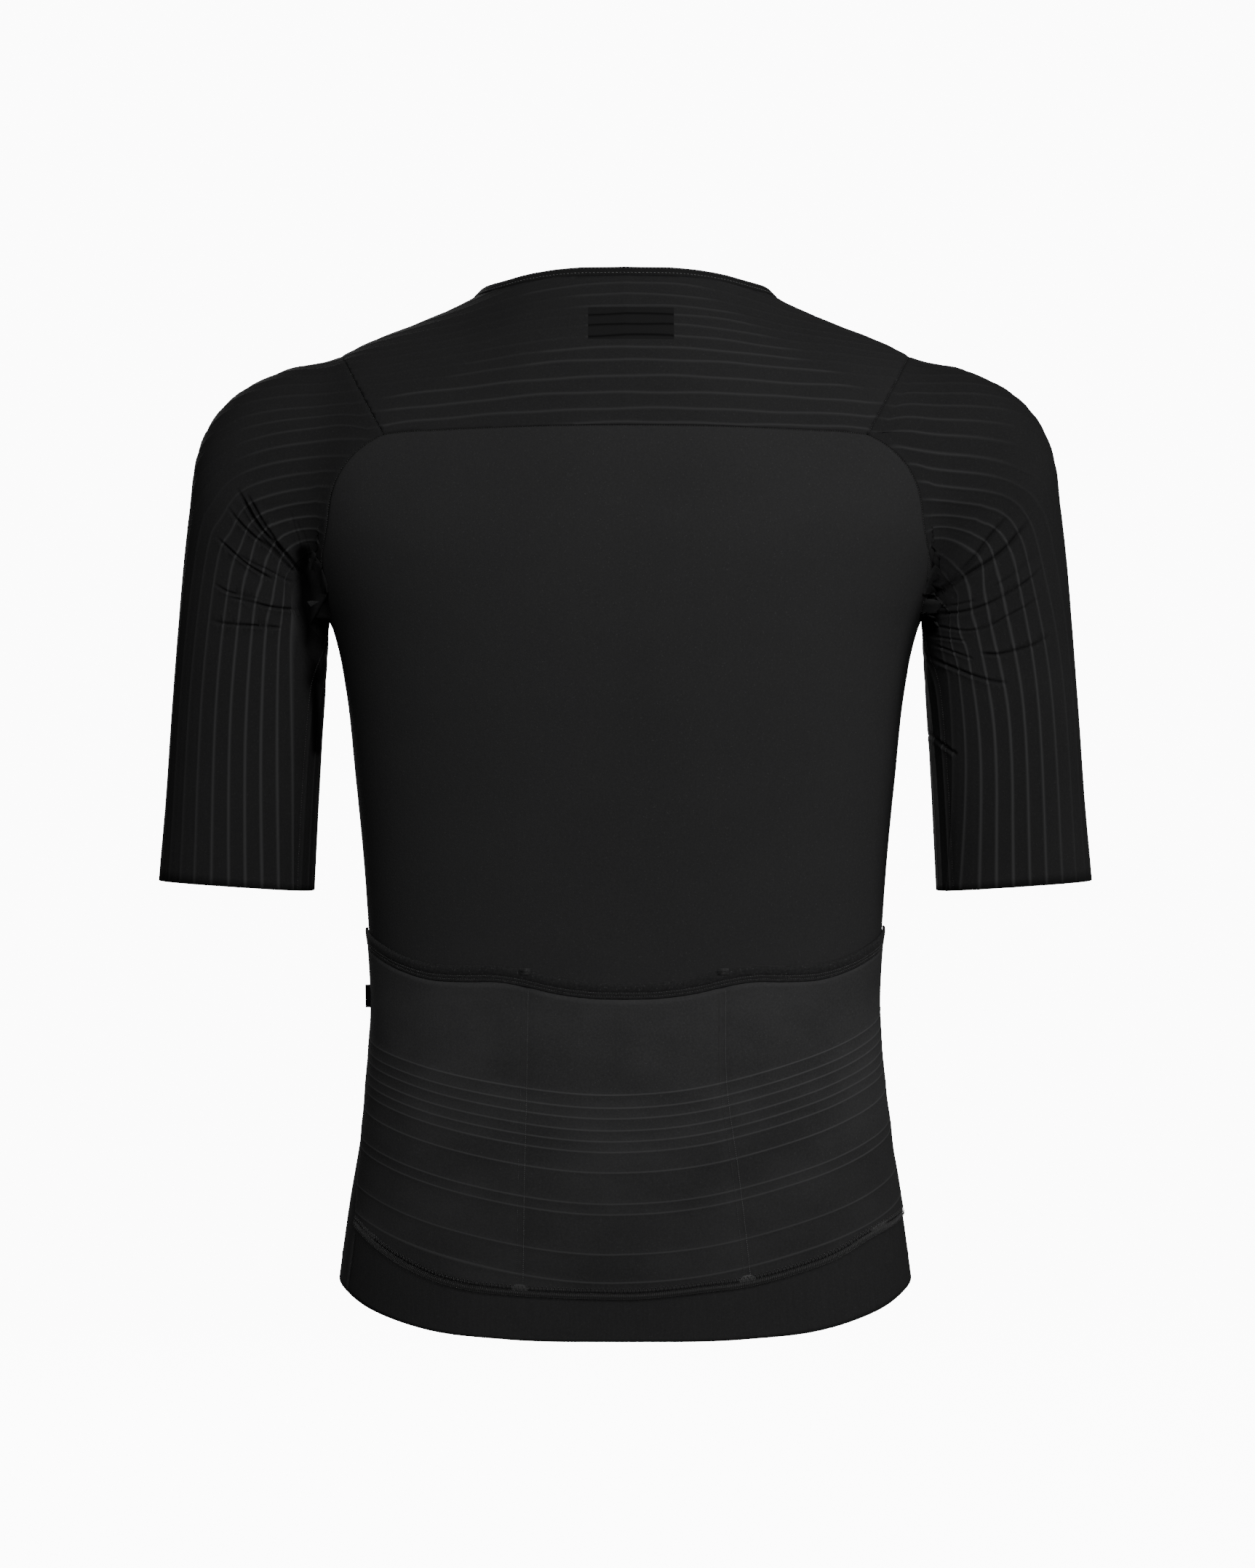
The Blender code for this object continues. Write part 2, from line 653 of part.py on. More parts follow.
def make_back(collection, behind, seams, stations):
    """Back panel, with the pocket panel and its binding lying on its points, and the gripper band below."""
    x = np.linspace(YOKE_SEAM[-1][0], -YOKE_SEAM[-1][0], BACK_COLUMNS + 1)
    top = facing(x, read_table(YOKE_SEAM, 1, np.abs(x)), 1)
    edges = []
    for side in (1, -1):
        down = mirrored(behind[::-1], side)
        edges.append(np.concatenate([down, stations[side][1 : SIDE_ROWS[0] + 1]]))
    top[0], top[-1] = edges[0][0], edges[1][0]
    pocket_top = across_back(POCKET_TOP, seams)
    binding_foot = across_back(POCKET_TOP, seams, POCKET_BINDING)
    hem_seam = across_back(HEM_SEAM, seams)
    hem_edge = across_back(HEM_EDGE, seams)
    sides = [stations[side][sum(SIDE_ROWS[:2]) : sum(SIDE_ROWS[:3]) + 1] for side in (1, -1)]
    upper = patch(top, pocket_top, *edges)
    pockets = patch(binding_foot, hem_seam, *sides)
    columns = BACK_COLUMNS + 1
    whole = np.concatenate([upper, pockets]).reshape(-1, 3)
    cloth_object("back_panel", whole, grid_faces(len(upper) + len(pockets), columns), collection, "body")

    def laid_on(name, grid, finish, wall):
        points = grid.reshape(-1, 3)
        points = points + outward(points) * (SEAM_GAP + wall)
        return cloth_object(name, points, grid_faces(len(grid), columns), collection, finish, wall)

    laid_on("pocket_panel", pockets, "pocket", CLOTH)
    laid_on("pocket_binding", np.stack([upper[-1], pockets[0]]), "elastic", BINDING_WALL)
    middle = on_form((hem_seam + hem_edge) / 2)
    middle[0], middle[-1] = stations[1][-2], stations[-1][-2]
    band = np.stack([hem_seam, middle, hem_edge]).reshape(-1, 3)
    cloth_object("hem_back", band, grid_faces(3, columns), collection, "elastic")
    return top


def shoulder_profiles(xs, count=110):
    """The form's outline over the shoulder, from the back to the front, at each distance from the middle, with
    its length measured from the yoke's lower seam."""
    turn = np.radians(np.linspace(*PROFILE_TURN, count))
    xs = np.asarray(xs, float)
    middle = read_table(SHOULDER, 1, np.abs(xs)) - PROFILE_CENTRE[1]
    starts = np.stack([xs, np.full_like(xs, PROFILE_CENTRE[0]), middle], -1)[:, None]
    away = np.stack([np.zeros_like(turn), np.cos(turn), np.sin(turn)], -1)[None]
    points = cast(starts, away + np.zeros((len(xs), count, 3)))
    steps = np.linalg.norm(np.diff(points, axis=1), axis=-1)
    lengths = np.concatenate([np.zeros((len(xs), 1)), np.cumsum(steps, axis=1)], axis=1)
    seam = read_table(YOKE_SEAM, 1, np.abs(xs))
    half = count // 2
    for row in range(len(xs)):
        lengths[row] -= np.interp(seam[row], points[row, :half, 2], lengths[row, :half])
    return points, lengths


def yoke_flat(points):
    """The yoke's flat pattern: the distance from the middle, and the length up from its lower seam."""
    profiles, lengths = shoulder_profiles(points[:, 0])
    flat = []
    for point, profile, length in zip(points, profiles, lengths):
        edges = np.diff(profile, axis=0)
        shares = np.clip(((point - profile[:-1]) * edges).sum(1) / (edges**2).sum(1), 0, 1)
        nearest = np.argmin(np.linalg.norm(profile[:-1] + shares[:, None] * edges - point, axis=1))
        up = length[nearest] + shares[nearest] * (length[nearest + 1] - length[nearest])
        flat.append((point[0], up))
    return np.array(flat)


def yoke_from_flat(flat):
    """The places on the form of points of the yoke's flat pattern."""
    points = []
    for profile, length, up in zip(*shoulder_profiles(flat[:, 0]), flat[:, 1]):
        points.append([np.interp(up, length, profile[:, axis]) for axis in range(3)])
    return np.array(points)


def neck_line():
    """The neck seam from the zip's left side round the back to its right side, and where the yoke ends on it."""
    half = smooth_line(NECK_SEAM)
    at_back, at_front = NECK_POINTS
    yoke_end = length_to(half, on_form(np.array(YOKE_FRONT_SEAM_AT_NECK)))
    ahead = slice(-(len(half) // 4), None)
    front_end = np.interp(-ZIP_EDGE, -half[ahead, 0], lengths_along(half)[ahead])
    back = stretch(half, yoke_end, 0, at_back)
    front = stretch(half, front_end, yoke_end, at_front)
    left = np.concatenate([front, back[1:]])
    return np.concatenate([left, mirrored(left[::-1], -1)[1:]]), at_front


def make_yoke(collection, over, yoke_seam, neck, ends):
    """Ribbed yoke over both shoulders, in one piece."""
    front = evenly(smooth_line((over[-1], (over[-1] + neck[ends]) / 2, neck[ends])), YOKE_FRONT_POINTS)
    left = np.concatenate([over, front[1:]])
    inner = neck[ends : len(neck) - ends]
    outline = np.concatenate([left, inner[1:-1], mirrored(left[::-1], -1), yoke_seam[::-1][1:-1]])
    flat = yoke_flat(outline)
    count = int(flat[:, 1].max() / RIB_PITCH)
    ribs = [
        (RIB_PITCH * k + move, RIB_HEIGHT if move == 0 else 0.0, YOKE_SPACING)
        for k in range(1, count + 1)
        for move in (-RIB_FOOT, 0, RIB_FOOT)
    ]
    points, faces, raised = flat_panel(outline, flat, ribs, [], yoke_from_flat)
    cloth_object("back_yoke", points, faces, collection, "rib", raised=raised)
    return front


def zip_heights():
    """Heights down the front at which the zip and both front panels have points."""
    below = np.linspace(ZIP_SECOND_ROW, HEM_EDGE[0][1], ZIP_ROWS)
    return np.concatenate([[NECK_SEAM[-1][2]], below])


def front_flat(points):
    """A front panel's flat pattern: the way round the body, and the height."""
    turn = np.degrees(np.arctan2(points[:, 1], points[:, 0]))
    return np.stack([turn * FRONT_MM_A_DEGREE, points[:, 2]], -1)


def front_from_flat(flat):
    return around(flat[:, 0] / FRONT_MM_A_DEGREE, flat[:, 1])


def make_front(name, side, collection, round_arm, stations, neck, yoke_front):
    """A front panel, from the zip round to the side seam behind the arm, worked out on the left side."""
    down = mirrored(stations[side], side)
    hem_angles = np.linspace(angles_of(down[-1]), -90 + ZIP_EDGE / FRONT_MM_A_DEGREE, FRONT_HEM_POINTS)
    hem = around(hem_angles, read_table(HEM_EDGE, 1, hem_angles))
    heights = zip_heights()
    edge = facing(ZIP_EDGE, heights[::-1], -1)
    edge[-1] = neck[0]
    outline = np.concatenate([edge, neck[1:], yoke_front[-2::-1], round_arm[1:], down[1:], hem[1:-1]])
    flat = front_flat(outline)
    stitches = front_flat(facing(ZIP_COIL / 2 + ZIP_TAPE, heights[1:-1], -1))
    inside = [tuple(point) for point in stitches]
    for point in grid_inside(flat, FRONT_SPACING, FRONT_MARGIN):
        if point[0] > stitches[:, 0].max() + FRONT_PAST_ZIP:
            inside.append(point)
    points, faces, _ = flat_panel(outline, flat, [], inside, front_from_flat)
    cloth_object(name, mirrored(points, side), faces, collection, "body")


def superoval(turn, squareness):
    """A point round a squared circle of radius 1."""
    power = 2 / squareness
    across, deep = np.cos(turn), np.sin(turn)
    return np.sign(across) * np.abs(across) ** power, np.sign(deep) * np.abs(deep) ** power


def make_sleeve(name, side, collection, loop, at_armhole):
    """A ribbed sleeve, whose ribs leave the armhole, bend round the shoulder and run straight to the cuff."""
    ribs, raised = (np.array(column) for column in zip(*rib_columns()))
    once = UNDERARM_START + SLEEVE_RIBS
    ribs_behind = UNDERARM_START + (SEAM_TO_FIRST_RIB + BACK_RIBS * RIB_PITCH) / RIB_PITCH
    share_behind = (SEAM_TO_FIRST_RIB + BACK_RIBS * RIB_PITCH) / CUFF_ROUND
    at_cuff = np.interp(ribs, (UNDERARM_START, ribs_behind, once), (0, share_behind, 1))
    across, deep = superoval(np.radians(np.arange(361)), ARM_SQUARENESS)
    along = np.roll(loop, -4, axis=0) - np.roll(loop, 4, axis=0)
    away = np.cross(outward(loop), along)
    away /= np.linalg.norm(away, axis=1, keepdims=True)
    grid = [loop, on_form(loop + away * SLEEVE_FIRST_ROW)]
    first = None
    for step, (out_x, out_z, in_x, in_z, half_depth, middle, share) in enumerate(SLEEVE_RINGS):
        progress = step / (len(SLEEVE_RINGS) - 1)
        ease = progress * progress * (3 - 2 * progress)
        centre = np.array([(out_x + in_x) / 2, middle, (out_z + in_z) / 2])
        half = np.array([(out_x - in_x) / 2, 0, (out_z - in_z) / 2])
        ring = centre - half * across[:, None] + np.array([0, half_depth, 0]) * deep[:, None]
        ring = ring if share else on_form(ring)
        total = lengths_along(ring)[-1]
        begin = lengths_along(ring)[int(round(UNDERARM_SEAM_TURN * ease))]
        places_round = (1 - ease) * at_armhole + ease * at_cuff
        row = at_lengths(np.concatenate([ring, ring[1:]]), begin + places_round * total)
        if first is None:
            first = row
        else:
            grid.append(on_form(row + share * (grid[1] - first)))
    points = mirrored(np.concatenate(grid), side)
    faces = grid_faces(len(grid), len(ribs), closed=True)
    cloth_object(name, points, faces, collection, "rib", raised=np.tile(raised, len(grid)))


def make_neck_band(collection, neck):
    """The bound neck edge, standing up and in from the neck seam."""
    ahead = np.clip(neck[:, 1] / NECK_SEAM[-1][1], 0, 1)[:, None]
    inward = -neck * np.array([1, 1, 0])
    inward /= np.linalg.norm(inward, axis=1, keepdims=True)
    lean = np.radians((1 - ahead) * NECK_BAND_LEAN[0] + ahead * NECK_BAND_LEAN[1])
    way = inward * np.sin(lean) + np.array([0, 0, 1]) * np.cos(lean)
    grid = np.stack([neck + way * (NECK_BAND * share) for share in (0, 0.5, 1)])
    cloth_object("neck_band", grid.reshape(-1, 3), grid_faces(3, len(neck)), collection, "elastic")


def make_tapes_and_coil(collection, coil_top):
    """Two tapes under the front panels' edges, and the coil between them."""
    foot = HEM_EDGE[0][1] + ZIP_FOOT_MARGIN
    heights = np.concatenate([[ZIP_TOP], zip_heights()[1:-1], [foot]])
    for side, word in ((1, "left"), (-1, "right")):
        columns = []
        for x in (ZIP_COIL / 2 + SEAM_GAP, ZIP_EDGE, ZIP_COIL / 2 + ZIP_TAPE):
            points = facing(side * x, heights, -1)
            columns.append(points - outward(points) * (CLOTH + SEAM_GAP))
        grid = np.stack(columns, 1).reshape(-1, 3)
        cloth_object(f"zip_tape_{word}", grid, grid_faces(len(heights), 3), collection, "tape", gap=0)
    heights[0] = coil_top
    middle = facing(0, heights, -1)
    middle = middle - outward(middle) * ZIP_COIL_SUNK
    half = np.array([ZIP_COIL / 2, 0, 0])
    grid = np.stack([middle + half, middle - half], 1).reshape(-1, 3)
    faces = grid_faces(len(heights), 2)
    cloth_object("zip_coil", grid, faces, collection, "coil", wall=ZIP_COIL_DEPTH, gap=0)


def box(name, low, high, top_width=None):
    """A box between two corners, in millimetres, whose upper end may be narrower."""
    bm = bmesh.new()
    bmesh.ops.create_cube(bm, size=1)
    for vert in bm.verts:
        share = vert.co + Vector((0.5, 0.5, 0.5))
        vert.co = Vector([low[axis] + share[axis] * (high[axis] - low[axis]) for axis in range(3)]) * MM
        if top_width and share.z > 0.5:
            vert.co.x *= top_width / (high[0] - low[0])
    mesh = bpy.data.meshes.new(name)
    bm.to_mesh(mesh)
    bm.free()
    return mesh


def cylinder(name, radius, width, across, up, sides=16):
    """A cylinder along X, in millimetres."""
    bm = bmesh.new()
    bmesh.ops.create_cone(
        bm, cap_ends=True, segments=sides, radius1=radius * MM, radius2=radius * MM, depth=width * MM
    )
    bmesh.ops.rotate(bm, verts=bm.verts, matrix=Matrix.Rotation(math.pi / 2, 3, "Y"))
    bmesh.ops.translate(bm, verts=bm.verts, vec=(0, across * MM, up * MM))
    mesh = bpy.data.meshes.new(name)
    bm.to_mesh(mesh)
    bm.free()
    return mesh


def combine(obj, helpers, mesh, operation, place):
    """Joins a shape to an object, or cuts it out, by a Boolean that follows the object."""
    helper = bpy.data.objects.new(mesh.name, mesh)
    helper.hide_render = True
    helper.display_type = "WIRE"
    helpers.objects.link(helper)
    helper.matrix_world = place
    modifier = obj.modifiers.new(mesh.name, "BOOLEAN")
    modifier.operation = operation
    modifier.object = helper


def make_slider(collection, helpers, place):
    """The slider at the top of the closed zip. In its own frame X is across, -Y outward and Z up the zip."""
    wide, high, thick = SLIDER_PLATE
    front = -ZIP_COIL_SUNK + SEAM_GAP
    bar = front + thick + SEAM_GAP + PULL_EYE[0]
    mesh = box("zip_slider", (-wide / 2, -front - thick, -high / 2), (wide / 2, -front, high / 2))
    slider = add_object("zip_slider", mesh, collection, "slider")
    slider.matrix_world = place
    inner = PULL_EYE[2] / 2 + SEAM_GAP
    low, up = PULL_BAR_HEIGHT - CHEEK[1] / 2, PULL_BAR_HEIGHT + CHEEK[1] / 2
    top = bar + CHEEK[1] / 2
    parts = [
        box("rear_plate", (-wide / 2, SLIDER_BACK, -high / 2), (wide / 2, SLIDER_BACK + thick, high / 2)),
        box(
            "post",
            (-SLIDER_POST[0] / 2, -front - thick / 2, high / 2 - SLIDER_POST[1]),
            (SLIDER_POST[0] / 2, SLIDER_BACK + thick / 2, high / 2 - SLIDER_POST[2]),
        ),
        box("left_cheek", (inner, -top, low), (inner + CHEEK[0], -front - thick / 2, up)),
        box("right_cheek", (-inner - CHEEK[0], -top, low), (-inner, -front - thick / 2, up)),
        cylinder("bar", PULL_BAR_RADIUS, 2 * inner + CHEEK[0], -bar, PULL_BAR_HEIGHT),
    ]
    for part in parts:
        combine(slider, helpers, part, "UNION", place)
    return bar


def make_pull(collection, helpers, place, bar):
    """The pull, with its origin on the bar that it swings on, resting on the cloth."""
    hinge = place @ Matrix.Translation((0, -bar * MM, PULL_BAR_HEIGHT * MM))
    hinge = hinge @ Matrix.Rotation(math.radians(PULL_REST), 4, "X")
    outer, bore, eye = PULL_EYE
    wide, long, thick = PULL_PLATE
    low, high = (-wide / 2, -thick / 2, -outer - long), (wide / 2, thick / 2, -bore)
    mesh = box("zip_pull", low, high, top_width=eye)
    pull = add_object("zip_pull", mesh, collection, "slider")
    pull.matrix_world = hinge
    combine(pull, helpers, cylinder("eye", outer, eye, 0, 0), "UNION", hinge)
    combine(pull, helpers, cylinder("bore", bore, 2 * eye, 0, 0), "DIFFERENCE", hinge)


def make_zip(collection, helpers):
    """The zip, closed, with its slider laid on the line between the zip's two highest rows."""
    lower, upper = facing(0, np.array([ZIP_SECOND_ROW, ZIP_TOP]), -1)
    run = upper - lower
    turn = Matrix.Rotation(-math.atan2(run[1], run[2]), 4, "X")
    middle = (lower + upper) / 2
    bar = make_slider(collection, helpers, Matrix.Translation(Vector(middle) * MM) @ turn)
    make_pull(collection, helpers, Matrix.Translation(Vector(middle) * MM) @ turn, bar)
    post_foot = SLIDER_PLATE[1] / 2 - SLIDER_POST[1] - SEAM_GAP
    make_tapes_and_coil(collection, middle[2] + post_foot * run[2] / np.linalg.norm(run))


def make_side_tab(collection, seam):
    """Folded tab caught in the left side seam, in front of the pocket panel's edge."""
    reach, across, high = TAB
    nearest = seam[np.argmin(np.abs(seam[:, 2] - TAB_HEIGHT))] - np.array([0, across / 2 + SEAM_GAP, 0])
    out = outward(nearest[None])[0]
    mesh = box("side_tab", (0, -across / 2, -high / 2), (reach, across / 2, high / 2))
    tab = add_object("side_tab", mesh, collection, "elastic")
    tab.location = Vector(nearest + out * TAB_STANDS_OFF) * MM
    tab.rotation_euler = Vector(out).to_track_quat("X", "Z").to_euler()
    edge = tab.modifiers.new("Edge", "BEVEL")
    edge.width = TAB[1] / 4 * MM
    edge.segments = 2


def main():
    for obj in list(bpy.data.objects):
        bpy.data.objects.remove(obj, do_unlink=True)
    collection = bpy.data.collections.new("cycling_jersey")
    helpers = bpy.data.collections.new("cutters")
    bpy.context.scene.collection.children.link(collection)
    bpy.context.scene.collection.children.link(helpers)
    armhole, places = armhole_seam()
    loop, at, shared, corners = armhole_loop(armhole, places)
    behind = loop_part(loop, shared, corners["side"], corners["yoke_back"])
    over = loop_part(loop, shared, corners["yoke_back"], corners["yoke_front"])
    before = loop_part(loop, shared, corners["yoke_front"], corners["side"])
    seams = {side: side_seam(side) for side in (1, -1)}
    stations = {side: side_stations(seams[side]) for side in (1, -1)}
    neck, ends = neck_line()
    yoke_seam = make_back(collection, behind, seams, stations)
    yoke_front = make_yoke(collection, over, yoke_seam, neck, ends)
    for side, word in ((1, "left"), (-1, "right")):
        make_front(f"front_{word}", side, collection, before, stations, neck[: ends + 1], yoke_front)
        make_sleeve(f"sleeve_{word}", side, collection, loop, at / places["end"])
    make_neck_band(collection, neck)
    make_zip(collection, helpers)
    make_side_tab(collection, seams[1])


main()
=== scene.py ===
import math

import bmesh
import bpy
import numpy as np
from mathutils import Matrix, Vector
from mathutils.geometry import delaunay_2d_cdt
from mathutils.kdtree import KDTree


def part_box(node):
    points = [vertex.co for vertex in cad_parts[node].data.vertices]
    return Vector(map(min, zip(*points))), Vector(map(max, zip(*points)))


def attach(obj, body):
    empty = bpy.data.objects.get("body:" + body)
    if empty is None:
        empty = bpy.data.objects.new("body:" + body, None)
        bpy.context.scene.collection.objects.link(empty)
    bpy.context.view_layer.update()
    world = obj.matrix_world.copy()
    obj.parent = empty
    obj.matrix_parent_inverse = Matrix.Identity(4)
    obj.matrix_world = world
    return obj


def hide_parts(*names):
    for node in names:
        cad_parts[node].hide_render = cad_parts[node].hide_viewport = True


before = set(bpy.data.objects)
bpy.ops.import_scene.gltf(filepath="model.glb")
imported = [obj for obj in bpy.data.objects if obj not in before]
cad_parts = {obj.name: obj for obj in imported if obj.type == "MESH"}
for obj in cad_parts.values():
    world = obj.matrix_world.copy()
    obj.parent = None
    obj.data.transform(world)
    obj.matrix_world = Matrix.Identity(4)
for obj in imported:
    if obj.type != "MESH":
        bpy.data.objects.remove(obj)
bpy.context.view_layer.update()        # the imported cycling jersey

mm = 0.001
body = "jersey"

# Tables and lines below are in millimetres: X to the wearer's left, +Y to the back, +Z up

figure = {
    "torso": (  # height, half width, back depth, front depth
        (60, 200, 122, 50), (0, 201, 122, 58), (-60, 203, 122, 76), (-90, 204, 120.5, 90),
        (-120, 204.5, 119.5, 104), (-150, 202, 120, 115), (-175, 193, 119.5, 121), (-190, 186.6, 119, 123),
        (-202, 181.4, 118.5, 124), (-215, 177.5, 117.5, 124), (-242, 172.4, 114.5, 122.5),
        (-296, 166.5, 106, 117), (-350, 161.3, 98, 110), (-395, 158.2, 92.5, 106), (-436, 156.2, 90, 105),
        (-476, 158.6, 91, 106), (-517, 163.4, 94, 108), (-557, 170.1, 98, 110), (-598, 175.8, 102, 112),
        (-650, 182, 106, 115),
    ),
    "torsoSquareness": 2.3,
    "arm": (  # height, outer line, inner line, half depth, middle depth
        (60, 252, 172, 52, 2), (-60, 260, 178, 55, 2), (-121, 266.8, 180.5, 53, 2), (-160, 271.3, 182, 50, 1),
        (-202, 275.2, 183.9, 47, 0), (-256, 279.7, 187.2, 45, -2), (-310, 283.7, 190.6, 43.5, -4),
        (-366, 288.9, 193.6, 42, -7), (-400, 291, 195.5, 41.5, -9),
    ),
    "armSquareness": 2.7,
    "shoulder": (  # distance from the middle, height
        (0, 41), (30, 37), (60, 23), (80, 9), (94, 0), (120.6, -12.4), (143.5, -21.4), (167.2, -29.5),
        (193, -37.5), (218.5, -48), (260, -66), (330, -96),
    ),
    "shoulderRadius": 60.0,
    "shoulderSoftness": 1.16,
    "shoulderBlend": 36.0,
    "armpitHeight": -199.0,
    "armpitBlend": (2.0, 26.0, 70.0, 1.5),  # at the armpit, above it, over this height, how late it grows
    "leastSlope": 0.05,
}


def readTable(table, column, at):
    # a column at any value of the first one, on a smooth curve through the rows
    rows = np.array(sorted(table), float)
    keys, values = rows[:, 0], rows[:, column]
    at = np.clip(at, keys[0], keys[-1])
    steps = np.diff(keys)
    rises = np.diff(values) / steps
    inner = (rises[1:] * steps[:-1] + rises[:-1] * steps[1:]) / (steps[1:] + steps[:-1])
    slopes = np.concatenate([rises[:1], inner, rises[-1:]])
    i = np.clip(np.searchsorted(keys, at) - 1, 0, len(keys) - 2)
    t = (at - keys[i]) / steps[i]
    start = values[i] * (1 + 2 * t) + steps[i] * slopes[i] * t
    end = values[i + 1] * (3 - 2 * t) - steps[i] * slopes[i + 1] * (1 - t)
    return start * (1 - t) ** 2 + end * t * t


def oval(across, deep, halfWidth, halfDepth, squareness):
    reach = np.abs(across / halfWidth) ** squareness + np.abs(deep / halfDepth) ** squareness
    return (reach ** (1 / squareness) - 1) * np.minimum(halfWidth, halfDepth)


def softMin(a, b, blend):
    near = np.clip(blend - np.abs(a - b), 0, None)
    return np.minimum(a, b) - near * near / (4 * blend)


def form(points):
    # below zero inside the figure that fills the jersey: a torso and two upper arms under the shoulders
    x, y, z = np.abs(points[..., 0]), points[..., 1], points[..., 2]
    depth = np.where(y > 0, readTable(figure["torso"], 2, z), readTable(figure["torso"], 3, z))
    torso = oval(x, y, readTable(figure["torso"], 1, z), depth, figure["torsoSquareness"])
    outer, inner, halfDepth, middle = (readTable(figure["arm"], column, z) for column in (1, 2, 3, 4))
    arm = oval(x - (outer + inner) / 2, y - middle, (outer - inner) / 2, halfDepth, figure["armSquareness"])
    atPit, above, over, power = figure["armpitBlend"]
    blend = atPit + (above - atPit) * np.clip((z - figure["armpitHeight"]) / over, 0, 1) ** power
    trunk = softMin(torso, arm, blend)
    radius = figure["shoulderRadius"]
    top = z - readTable(figure["shoulder"], 1, x) + y * y / (2 * radius)
    top = top / np.sqrt(figure["shoulderSoftness"] + (y / radius) ** 2)
    return -softMin(-trunk, -top, figure["shoulderBlend"])


def slope(points, step=0.25):
    found = np.empty_like(points)
    for axis in range(3):
        move = np.zeros(3)
        move[axis] = step
        found[..., axis] = (form(points + move) - form(points - move)) / (2 * step)
    return found


def unit(vectors):
    return vectors / np.linalg.norm(vectors, axis=-1, keepdims=True)


def outward(points):
    return unit(slope(points))


def onForm(points, rounds=6):
    # moves points straight onto the form
    points = np.array(points, float)
    for _ in range(rounds):
        rise = slope(points)
        size = np.maximum((rise * rise).sum(-1, keepdims=True), figure["leastSlope"])
        points = points - form(points)[..., None] * rise / size
    return points


def cast(starts, directions, reach=300.0, coarse=8.0, rounds=14):
    # follows rays from inside the form to where they first leave it
    starts, directions = np.broadcast_arrays(np.array(starts, float), np.array(directions, float))
    steps = np.arange(0.0, reach, coarse)
    outside = form(starts[..., None, :] + directions[..., None, :] * steps[:, None]) > 0
    far = steps[np.argmax(outside, axis=-1)]
    near = far - coarse
    for _ in range(rounds):
        half = (near + far) / 2
        out = form(starts + directions * half[..., None]) > 0
        far, near = np.where(out, half, far), np.where(out, near, half)
    return starts + directions * far[..., None]


def around(angle, height):
    # the place on the form at an angle in degrees from the wearer's left towards the back
    turn, height = np.broadcast_arrays(np.radians(angle), np.array(height, float))
    level = np.zeros_like(height)
    return cast(np.stack([level, level, height], -1), np.stack([np.cos(turn), np.sin(turn), level], -1))


def facing(x, height, way):
    # the place on the form's back (way 1) or front (way -1)
    x, height = np.broadcast_arrays(np.array(x, float), np.array(height, float))
    level = np.zeros_like(height)
    return cast(np.stack([x, level, height], -1), (0.0, float(way), 0.0))


def lengthsAlong(line):
    return np.concatenate([[0], np.cumsum(np.linalg.norm(np.diff(line, axis=0), axis=1))])


def atLengths(line, wanted):
    done = lengthsAlong(line)
    return np.stack([np.interp(wanted, done, line[:, axis]) for axis in range(3)], -1)


def evenly(line, count):
    return atLengths(line, np.linspace(0, lengthsAlong(line)[-1], count + 1))


def smoothLine(points, dense=40):
    # a close smooth line on the form, through points near it
    points = np.array(points, float)
    keys = lengthsAlong(points)
    rows = [(key, *point) for key, point in zip(keys, points)]
    at = np.linspace(0, keys[-1], dense * (len(points) - 1) + 1)
    return onForm(np.stack([readTable(rows, axis + 1, at) for axis in range(3)], -1))


def lengthTo(line, point):
    return lengthsAlong(line)[np.argmin(np.linalg.norm(line - np.array(point, float), axis=1))]


def mirrored(points, side):
    return points * np.array([side, 1, 1])


def patch(top, bottom, left, right):
    # fills four lines that meet at their ends with a grid on the form
    s = np.linspace(0, 1, len(top))[None, :, None]
    t = np.linspace(0, 1, len(left))[:, None, None]
    ruled = (1 - t) * top[None] + t * bottom[None] + (1 - s) * left[:, None] + s * right[:, None]
    corners = (1 - t) * ((1 - s) * top[0] + s * top[-1]) + t * ((1 - s) * bottom[0] + s * bottom[-1])
    grid = onForm(ruled - corners)
    grid[0], grid[-1], grid[:, 0], grid[:, -1] = top, bottom, left, right
    return grid


def gridFaces(rows, columns, closed=False):
    here = np.arange(rows * columns).reshape(rows, columns)
    beside = np.roll(here, -1, axis=1)
    if not closed:
        here, beside = here[:, :-1], beside[:, :-1]
    faces = np.stack([here[:-1], beside[:-1], beside[1:], here[1:]], -1)
    return faces.reshape(-1, 4).tolist()


# Seams

